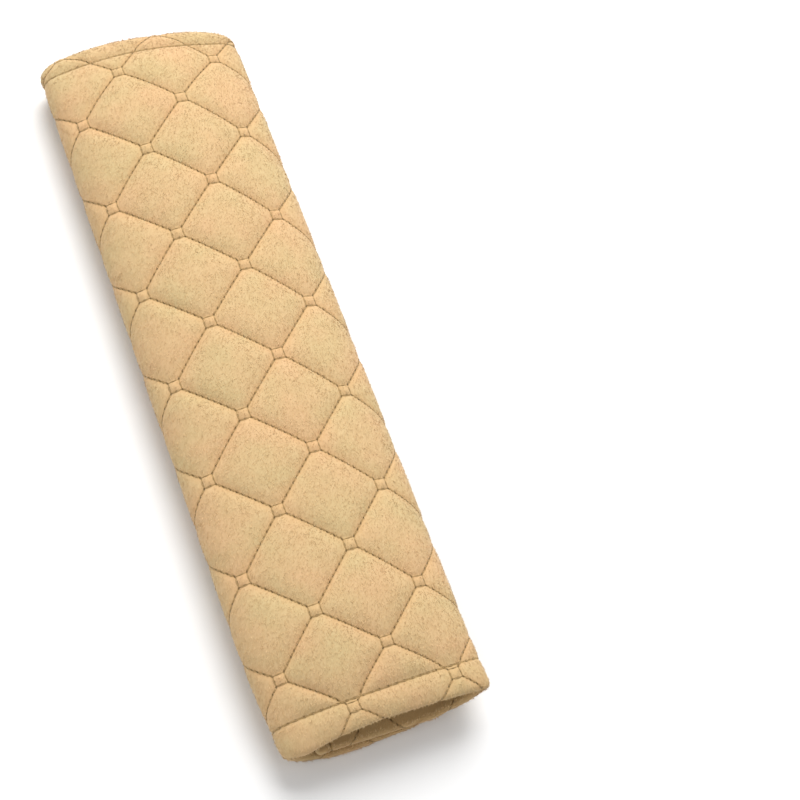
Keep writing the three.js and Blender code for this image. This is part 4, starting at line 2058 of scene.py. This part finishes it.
@dataclass(frozen=True)
class FloorFinish:
    """Plain matt white paper."""

    colour: Colour = (0.9, 0.9, 0.9, 1.0)
    shade: Colour = (0.8, 0.8, 0.8, 1.0)
    unevenness: float = 0.02

    def build(self) -> bpy.types.Material:
        """Builds the material, with a very slight unevenness.

        Returns:
            The material.
        """
        surface = Surface("plain_floor", {"Roughness": 0.9, "Specular IOR Level": 0.1})
        nodes = surface.nodes
        noise = nodes.add("ShaderNodeTexNoise", {"Scale": 3.0})
        share = nodes.times(noise.outputs[0], self.unevenness)
        return surface.dress(nodes.mix(share, self.colour, self.shade))


@dataclass(frozen=True)
class SoftLight:
    """A square soft light aimed at the pad, in metres and watts."""

    name: str
    place: tuple[float, float, float]
    width: float
    power: float

    def add(self) -> None:
        """Adds the light to the scene."""
        data = bpy.data.lights.new(self.name, "AREA")
        data.size = self.width
        data.energy = self.power
        light = bpy.data.objects.new(self.name, data)
        light.location = self.place
        light.rotation_euler = (-Vector(self.place)).to_track_quat("-Z", "Y").to_euler()
        bpy.context.collection.objects.link(light)


@dataclass
class Studio:
    """Pale floor, soft lights and the camera at the photograph's viewing angle."""

    floor_size: float = 4.0
    camera_place: tuple[float, float, float] = (-127.2, -237.3, 535.7)
    camera_right: tuple[float, float, float] = (0.92379, -0.34788, 0.15996)
    camera_down: tuple[float, float, float] = (-0.25215, -0.86711, -0.42959)
    focal_pixels: float = 1797.0
    sky_strength: float = 0.5
    key: SoftLight = SoftLight("key_light", (0.35, 0.75, 0.95), 0.9, 19.0)
    fill: SoftLight = SoftLight("fill_light", (-0.9, -0.35, 0.8), 1.2, 3.0)

    def build(self) -> None:
        """Builds the floor, the lights and the camera."""
        self.add_floor()
        self.add_sky()
        for light in (self.key, self.fill):
            light.add()
        self.add_camera()

    def add_floor(self) -> None:
        """Adds the floor that the pad lies on."""
        half = self.floor_size / 2
        mesh = bpy.data.meshes.new("floor")
        corners = [(-half, -half, 0), (half, -half, 0), (half, half, 0), (-half, half, 0)]
        mesh.from_pydata(corners, [], [(0, 1, 2, 3)])
        mesh.materials.append(FloorFinish().build())
        floor = bpy.data.objects.new("floor", mesh)
        bpy.context.collection.objects.link(floor)
        floor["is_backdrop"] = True

    def add_sky(self) -> None:
        """Adds even light from all round."""
        world = bpy.data.worlds.new("studio")
        bpy.context.scene.world = world
        world.use_nodes = True
        background = world.node_tree.nodes["Background"]
        background.inputs["Color"].default_value = (1.0, 1.0, 1.0, 1.0)
        background.inputs["Strength"].default_value = self.sky_strength

    def add_camera(self) -> None:
        """Adds the camera at the photograph's viewing angle."""
        right, down = Vector(self.camera_right), Vector(self.camera_down)
        back = right.cross(-down)
        data = bpy.data.cameras.new("camera")
        data.sensor_width = SENSOR_WIDTH
        data.lens = self.focal_pixels * SENSOR_WIDTH / PHOTO_SIZE
        camera = bpy.data.objects.new("camera", data)
        turned = Matrix((right, -down, back)).transposed().to_4x4()
        camera.matrix_world = Matrix.Translation(Vector(self.camera_place) * MM) @ turned
        bpy.context.collection.objects.link(camera)
        bpy.context.scene.camera = camera
        bpy.context.scene.view_settings.view_transform = "Standard"


def main() -> None:
    """Builds every piece in order and reports it."""
    logging.basicConfig(level=logging.INFO, format="%(name)s: %(message)s")
    Studio().build()
    low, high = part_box("quilted_wrap")
    form = WrapForm(length=(high[1] - low[1]) / MM)
    quilting = Quilting(form)
    sheet = QuiltedSheet(form, quilting)
    groups = {
        "pile": pile_grain(), "mottling": soft_mottling(), "quilt": quilt_seams(quilting),
        "sewn": sewn_line(), "ribs": woven_ribs(),
    }
    thread = ThreadFinish().build()

    wrap = QuiltedWrap(sheet).build(PlushFinish().build(groups), LiningFinish().build(groups))
    PillowSimulation(sheet).settle(wrap)
    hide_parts("quilted_wrap")
    tufts = PileTufts(sheet).build("pile_tufts", wrap, TuftFinish().build(groups))

    face_thread = QuiltThread(sheet, Side.PLUSH, Thread()).build("quilt_thread_face", thread)
    back_thread = QuiltThread(sheet, Side.LINING, Thread(sides=4)).build("quilt_thread_back", thread)
    edge_thread = EdgeThread(sheet, Thread(pitch=2.8, sides=5)).build("edge_thread", thread)
    sewn_on = [face_thread, back_thread, edge_thread, tufts]

    tapes = []
    for name, kind, roughness in (
        ("hook_tape", TapeKind.HOOKS, 0.45), ("loop_tape", TapeKind.LOOPS, 0.85),
    ):
        ground = TapeFinish(f"{name}_ground").build(groups)
        wires = TapeFinish(f"{name}_field", roughness=roughness).build(groups)
        tape = ClosingTape(form, kind).build(f"{name}_sewn", [ground, wires])
        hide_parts(name)
        tapes.append(tape)

    for piece in (wrap, *sewn_on, *tapes):
        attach(piece, ROOT)
        log.info("%s: %d faces", piece.name, len(piece.data.polygons))
    boxes = {"cad": CAD_BOX, "visual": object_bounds()}
    {key: [list(corner) for corner in box] for key, box in boxes.items()}


if __name__ == "__main__":
    main()
